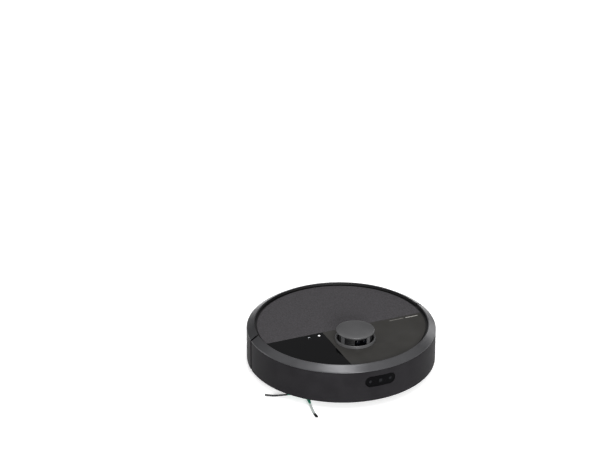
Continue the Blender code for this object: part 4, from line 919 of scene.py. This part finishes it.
def spider():
    """A disc with three tapering arms, each a bevelled block drawn in towards its tip."""
    under, top = low("side_brush_spider").z, high("side_brush_spider").z
    bm = turned([(0.0, top, 0.0), (0.0108, top, 0.0004), (0.0108, under, 0.0006), (0.0, under, 0.0)], 48)
    for angle in ARM_ANGLES:
        arm_middle = ((ARM_REACH + 0.004) / 2, 0.0, (top + under) / 2)
        arm = rounded_block((ARM_REACH - 0.004, 0.0088, top - under), arm_middle, 0.0006, segments=2)
        for vert in arm.verts:
            share = vert.co.x / ARM_REACH
            vert.co.y *= 1.0 - 0.52 * share
        rotated(arm, math.radians(angle), "Z")
        joined(bm, [arm])
    moved(bm, hub_centre)
    return bm


place_piece("rubber_spider", spider(), GREEN, "side_brush_spider")


def filament(radius, steps):
    """A thin tube from x = 0 to x = 1."""
    bm = bmesh.new()
    ring = bmesh.ops.create_circle(bm, cap_ends=True, segments=5, radius=radius)["verts"]
    bmesh.ops.rotate(bm, cent=(0, 0, 0), matrix=Matrix.Rotation(math.pi / 2, 3, "Y"), verts=ring)
    face = bm.faces[:][0]
    for _ in range(steps):
        grown = bmesh.ops.extrude_face_region(bm, geom=[face])["geom"]
        face = next(g for g in grown if isinstance(g, bmesh.types.BMFace))
        bmesh.ops.translate(bm, vec=(1.0 / steps, 0, 0), verts=face.verts)
    bmesh.ops.recalc_face_normals(bm, faces=bm.faces)
    mesh = bpy.data.meshes.new("filament")
    bm.to_mesh(mesh)
    bm.free()
    return mesh


def tuft(angle, tip_bend, count, seed):
    """Filaments that leave the arm together, bend and settle on the floor."""
    rng = random.Random(seed)
    one = filament(0.00024, 8)
    bm = bmesh.new()
    along = bm.verts.layers.float.new("along")
    for _ in range(count):
        before = len(bm.verts)
        bm.from_mesh(one)
        bm.verts.ensure_lookup_table()
        out = rng.uniform(-1.0, 1.0)
        up = rng.uniform(-1.0, 1.0)
        length = TIP_REACH - ARM_REACH - rng.uniform(0.0, 0.0012)
        for vert in bm.verts[before:]:
            share = vert.co.x
            vert[along] = share
            bend = math.radians(-tip_bend * math.sin(math.pi * share / 2) * share)
            reach = ARM_REACH - 0.004 * (1 - share) + length * share
            spread = out * (0.0017 + 0.0010 * share)
            settle = min(1.0, share * 1.5)
            height = arm_height + up * 0.0008 * (1 - 0.3 * settle) + (0.0024 - arm_height) * settle
            side = reach * math.sin(bend) + spread + vert.co.y
            vert.co = Vector((reach * math.cos(bend), side, height + vert.co.z))
    rotated(bm, math.radians(angle), "Z")
    moved(bm, hub_centre)
    bpy.data.meshes.remove(one)
    return bm


for index, (angle, tip_bend) in enumerate(zip(ARM_ANGLES, TIP_BENDS), 1):
    material = PALE_TUFT if index == 2 else DARK_TUFT
    bristles = tuft(angle, tip_bend, 120, index)
    place_piece(f"side_tuft_{index}", bristles, material, f"bristle_tuft_{index}", smooth_angle=60)

# %% [markdown]
# The tyre is a turned ring of soft rubber with slanted lugs in two rows. The lugs are bevelled blocks, sunk
# into the ring so that they need no fillets.

# %% Wheels
LUGS = 36


def tyre(node):
    centre = middle(node)
    half = half_width(node)
    outer = (high(node).z - low(node).z) / 2
    carcass, inner = outer - 0.0018, outer - 0.0057
    bm = turned([(carcass, half, 0.0010), (carcass, -half, 0.0010), (inner, -half, 0.0005),
                 (inner, half, 0.0005)], 96)
    lugs = []
    for index in range(LUGS):
        for row, slant in ((-1, 26.0), (1, -26.0)):
            turn = math.tau * (index + (0.25 if row > 0 else -0.25)) / LUGS
            lug = rounded_block((0.0034, 0.0030, half - 0.0018), (0, 0, 0), 0.0005, segments=1)
            rotated(lug, math.radians(slant), "X")
            moved(lug, (outer - 0.0018, 0, row * (half / 2)))
            rotated(lug, turn, "Z")
            lugs.append(lug)
    joined(bm, lugs)
    for vert in bm.verts:
        distance = math.hypot(vert.co.x, vert.co.y)
        if distance > outer - 0.0001:
            vert.co.x *= (outer - 0.0001) / distance
            vert.co.y *= (outer - 0.0001) / distance
    return along_x(bm, centre)


def spokes(count, size, centre):
    """Equal bars around the Z axis, made from one bar's size and middle."""
    bars = []
    for index in range(count):
        bar = rounded_block(size, centre, 0.0005, segments=2)
        bars.append(rotated(bar, math.tau * index / count, "Z"))
    return bars


def wheel_rim(node):
    """Dished hub with five ribs."""
    centre = middle(node)
    side = 1 if centre.x > 0 else -1
    half = half_width(node)
    outer = (high(node).z - low(node).z) / 2
    bm = turned([(0.0, half - 0.002, 0.0), (0.0095, half - 0.002, 0.0006), (0.0130, half - 0.005, 0.0012),
                 (outer - 0.0048, half - 0.005, 0.0010), (outer - 0.0022, half, 0.0005), (outer, half, 0.0005),
                 (outer, -half, 0.0005), (0.0147, -half, 0.0005), (0.0147, 0.0046, 0.0005),
                 (0.0, 0.0046, 0.0)], 80)
    joined(bm, spokes(5, (outer - 0.0125, 0.0026, 0.0030), ((outer + 0.0085) / 2, 0, half - 0.0042)))
    if side < 0:
        rotated(bm, math.pi, "X")
    return along_x(bm, centre)


for side in ("left", "right"):
    place_piece(f"tyre_{side}", tyre(f"wheel_tyre_{side}"), RUBBER, f"wheel_tyre_{side}")
    place_piece(f"hub_{side}", wheel_rim(f"wheel_rim_{side}"), WHEEL, f"wheel_rim_{side}")

caster_centre = middle("caster_wheel")
caster_half = half_width("caster_wheel")
caster_radius = (high("caster_wheel").z - low("caster_wheel").z) / 2
roll = turned([(0.0021, caster_half, 0.0002), (0.0050, caster_half, 0.0006),
               (0.0056, caster_half - 0.0008, 0.0003),
               (0.0076, caster_half - 0.0008, 0.0003), (0.0080, caster_half, 0.0004),
               (caster_radius, caster_half - 0.0006, 0.0026), (caster_radius, -caster_half + 0.0006, 0.0026),
               (0.0080, -caster_half, 0.0004), (0.0076, -caster_half + 0.0008, 0.0003),
               (0.0056, -caster_half + 0.0008, 0.0003), (0.0050, -caster_half, 0.0006),
               (0.0021, -caster_half, 0.0002)], 64)
place_piece("caster_roll", along_x(roll, caster_centre), WHEEL, "caster_wheel")

# %% [markdown]
# Each mop is a stiff plate with a microfibre pad held on by loop fabric. The plate is turned, with raised
# ribs underneath. The pad is sewn from two layers with a little foam between: a cloth simulation blows it
# up against its stitching, which gives the crown at the edge. It runs once, and both pads share the result.

# %% Mop plates


def mop_plate(node):
    centre = middle(node)
    top = low(node).z + 0.004
    radius = half_width(node)
    bm = turned([(0.0, high(node).z, 0.0), (0.005, high(node).z, 0.0004), (0.005, top + 0.0012, 0.0008),
                 (0.0115, top + 0.0012, 0.0008), (0.0125, top, 0.0004), (radius, top, 0.0008),
                 (radius, low(node).z, 0.0006), (0.0, low(node).z, 0.0)], 96)
    joined(bm, spokes(6, (radius - 0.018, 0.0018, 0.0018), ((radius + 0.0105) / 2, 0, top + 0.0002)))
    moved(bm, (centre.x, centre.y, 0))
    return bm


for side in ("left", "right"):
    place_piece(f"mop_plate_{side}", mop_plate(f"mop_disc_{side}"), SHELL, f"mop_disc_{side}")

# %% Mop pads
PAD_RADIUS = half_width("mop_pad_left")
PAD_TOP = high("mop_pad_left").z
PAD_VOXEL = 0.0028
PAD_SWELL = 0.0012


def pad_blank():
    """A plain puck, a little smaller than the finished pad because it swells, in an even grid of faces."""
    bm = turned([(0.0, PAD_TOP - 0.0006, 0.0), (PAD_RADIUS - 0.0010, PAD_TOP - 0.0006, 0.0018),
                 (PAD_RADIUS - 0.0010, 0.0006, 0.0018), (0.0, 0.0006, 0.0)], 72)
    mesh = bpy.data.meshes.new("pad_blank")
    bm.to_mesh(mesh)
    bm.free()
    blank = bpy.data.objects.new("pad_blank", mesh)
    bpy.context.scene.collection.objects.link(blank)
    remesh = blank.modifiers.new("even", "REMESH")
    remesh.mode = "VOXEL"
    remesh.voxel_size = PAD_VOXEL
    return blank


def evaluated_points(thing):
    bpy.context.view_layer.update()
    shown = thing.evaluated_get(bpy.context.evaluated_depsgraph_get())
    return bpy.data.meshes.new_from_object(shown)


def blown_up(blank):
    """Bake the even grid, swell it as cloth, and cap how far each point may move."""
    even = evaluated_points(blank)
    blank.modifiers.clear()
    blank.data = even
    rest = [v.co.copy() for v in even.vertices]
    cloth = blank.modifiers.new("cloth", "CLOTH")
    cloth.settings.use_pressure = True
    cloth.settings.uniform_pressure_force = 4.0
    cloth.settings.effector_weights.gravity = 0.0
    cloth.settings.mass = 0.2
    cloth.point_cache.frame_start, cloth.point_cache.frame_end = 1, 20
    for step in range(1, 21):
        bpy.context.scene.frame_set(step)
    swollen = evaluated_points(blank)
    blank.modifiers.clear()
    for vert, start in zip(swollen.vertices, rest):
        move = vert.co - start
        if move.length > PAD_SWELL:
            vert.co = start + move.normalized() * PAD_SWELL
    blank.data = swollen
    bpy.context.scene.frame_set(1)
    return blank


def pile(bm, centre, seed):
    """Raise the pile: short tufts in a close pattern, flattened where the pad rests on the floor."""
    bm.normal_update()
    rng = random.Random(seed)
    moves = []
    for vert in bm.verts:
        wave = math.sin(vert.co.x / 0.0011) * math.sin(vert.co.y / 0.0011 + 0.7 * math.sin(vert.co.x / 0.004))
        lift = 0.00035 * wave + rng.uniform(-0.00025, 0.00025)
        moves.append(vert.normal * lift)
    for vert, move in zip(bm.verts, moves):
        vert.co += move
        radius = math.hypot(vert.co.x, vert.co.y)
        if radius > PAD_RADIUS:
            vert.co.x *= PAD_RADIUS / radius
            vert.co.y *= PAD_RADIUS / radius
        vert.co.z = min(max(vert.co.z, 0.0001), PAD_TOP)
    moved(bm, (centre.x, centre.y, 0))
    return bm


pad_source = blown_up(pad_blank())
fine = pad_source.modifiers.new("fine", "SUBSURF")
fine.levels = fine.render_levels = 1
pad_mesh = evaluated_points(pad_source)
print("pad", len(pad_mesh.vertices), "points")
for seed, side in enumerate(("left", "right")):
    pad = bmesh.new()
    pad.from_mesh(pad_mesh)
    made = place_piece(f"microfibre_pad_{side}", pile(pad, middle(f"mop_pad_{side}"), seed), CLOTH,
                       f"mop_pad_{side}", smooth_angle=80)
bpy.data.objects.remove(pad_source, do_unlink=True)

# %% [markdown]
# The other housings and frames keep the shape that the engineering model gave them, and only need the small
# radius that a mould leaves on every edge. A copy of each is merged and its flat faces are joined, and its
# sharp edges are bevelled, so that they catch the light.

# %% Rounded copies of the housings


def softened(node, size, sharp=38.0):
    bm = bmesh.new()
    bm.from_mesh(frame["nodes"][node].data)
    bmesh.ops.remove_doubles(bm, verts=bm.verts, dist=1e-6)
    bmesh.ops.dissolve_limit(bm, angle_limit=math.radians(1.0), verts=bm.verts, edges=bm.edges)
    hard = [e for e in bm.edges if len(e.link_faces) == 2 and e.calc_face_angle() > math.radians(sharp)
            and e.calc_length() > size * 2.2]
    bevelled(bm, hard, size, 2, clamp_overlap=True)
    place_piece(node + "_moulded", bm, FINISH_OF_SLOT[slot_of[node]], node, smooth_angle=40)


SOFT_EDGES = {
    0.0008: ("battery_pack", "bin_cover", "brush_guard", "bin_handle", "fan_housing", "mop_carrier"),
    0.0005: ("base_pan", "battery_door", "brush_frame", "brush_motor", "caster_fork", "caster_socket",
             "dust_bin_tub", "side_brush_motor", "wheel_arm_left", "wheel_arm_right", "mid_frame",
             "chassis_wall"),
    0.0003: ("cliff_window_1", "cliff_window_2", "dock_contact_left", "dock_contact_right", "lidar_base",
             "lidar_motor", "lidar_pulley", "main_board", "fan_impeller", "rear_window", "bin_filter"),
}
for edge_size, names in SOFT_EDGES.items():
    for node in names:
        softened(node, edge_size)

# %% [markdown]
# The pan is held with self-tapping screws with a cross recess. One head is made, with its recess cut in it,
# and copied to its places in a ring.

# %% Screws in the pan


def screw_head():
    head = turned([(0.0, 0.0, 0.0), (0.0028, 0.0, 0.0003), (0.0028, -0.0009, 0.0004), (0.0, -0.0012, 0.0)], 24)
    slots = [rounded_block((0.0034, 0.0007, 0.0012), (0, 0, -0.0013), 0.0001, segments=1),
             rounded_block((0.0007, 0.0034, 0.0012), (0, 0, -0.0013), 0.0001, segments=1)]
    return carved(head, slots)


PAN_UNDER = low("base_pan").z
SCREW_PLACES = [(0.145 * math.sin(math.radians(a)), -0.145 * math.cos(math.radians(a)))
                for a in (58.0, 96.0, 140.0, 180.0, -96.0, -140.0)]
SCREW_PLACES += [(0.052, -0.1190), (-0.052, -0.1190), (0.0, 0.0300), (0.0, 0.1380)]
screws = bmesh.new()
for x, y in SCREW_PLACES:
    one = screw_head()
    moved(one, (x, y, PAN_UNDER - 0.0001))
    joined(screws, [one])
place_piece("pan_screws", screws, STEEL, "base_pan", replace=False)

# %% [markdown]
# The stage is one large white floor, and the world is a dim even grey: the gloss panel mirrors what is
# behind the robot, and there it has to find nothing bright. One soft light is above, one in front, and two
# weak ones are behind at the sides. A broad sun fills the shadows.

# %% Floor


FLOOR_GLOW = 0.45


def floor_material():
    """A white floor that glows a little, so that it stays white far from the lamps."""
    material = moulded("white_studio_floor", "#f4f4f4", "#f7f7f7", 0.7, grain_mm=400.0, depth_mm=0.001)
    shader = material.node_tree.nodes["Principled BSDF"]
    shader.inputs["Emission Color"].default_value = linear("#ffffff")
    shader.inputs["Emission Strength"].default_value = FLOOR_GLOW
    return material


bpy.ops.mesh.primitive_plane_add(size=60.0)
floor = bpy.context.object
floor.name = "studio_floor"
floor.data.materials.append(floor_material())

# %% Lights


def softbox(name, place, target, size, power):
    data = bpy.data.lights.new(name, "AREA")
    data.shape = "RECTANGLE"
    data.size, data.size_y = size
    data.energy = power
    lamp = bpy.data.objects.new(name, data)
    lamp.location = place
    lamp.rotation_euler = (Vector(target) - Vector(place)).to_track_quat("-Z", "Y").to_euler()
    bpy.context.scene.collection.objects.link(lamp)


softbox("softbox_top", (-0.10, -0.15, 2.5), (0.0, 0.0, 0.0), (0.7, 0.7), 21.0)
softbox("softbox_front", (-0.6, -2.8, 0.9), (0.0, -0.1, 0.05), (1.2, 0.7), 105.0)
softbox("softbox_right", (2.2, 1.2, 0.7), (0.1, 0.0, 0.05), (0.7, 0.9), 6.0)
softbox("softbox_left", (-2.2, 1.4, 0.7), (-0.1, 0.0, 0.05), (0.6, 0.9), 12.0)
sky_data = bpy.data.lights.new("soft_sky", "SUN")
sky_data.angle = math.radians(100.0)
sky_data.energy = 1.3
sky = bpy.data.objects.new("soft_sky", sky_data)
bpy.context.scene.collection.objects.link(sky)
world = bpy.data.worlds.new("studio")
world.use_nodes = True
world.node_tree.nodes["Background"].inputs["Color"].default_value = (1.0, 1.0, 1.0, 1.0)
world.node_tree.nodes["Background"].inputs["Strength"].default_value = 0.12
bpy.context.scene.world = world
bpy.context.scene.view_settings.view_transform = "Standard"

# %% [markdown]
# The camera stands a good 4 m away with a long lens, which keeps the round body's ellipse calm.

# %% Camera
camera_data = bpy.data.cameras.new("camera")
camera_data.lens = 134.47
camera = bpy.data.objects.new("camera", camera_data)
camera.location = (-1.4746, -3.2658, 2.0084)
camera.rotation_euler = Vector((0.35083, 0.82966, -0.43428)).to_track_quat("-Z", "Y").to_euler()
bpy.context.scene.collection.objects.link(camera)
bpy.context.scene.camera = camera
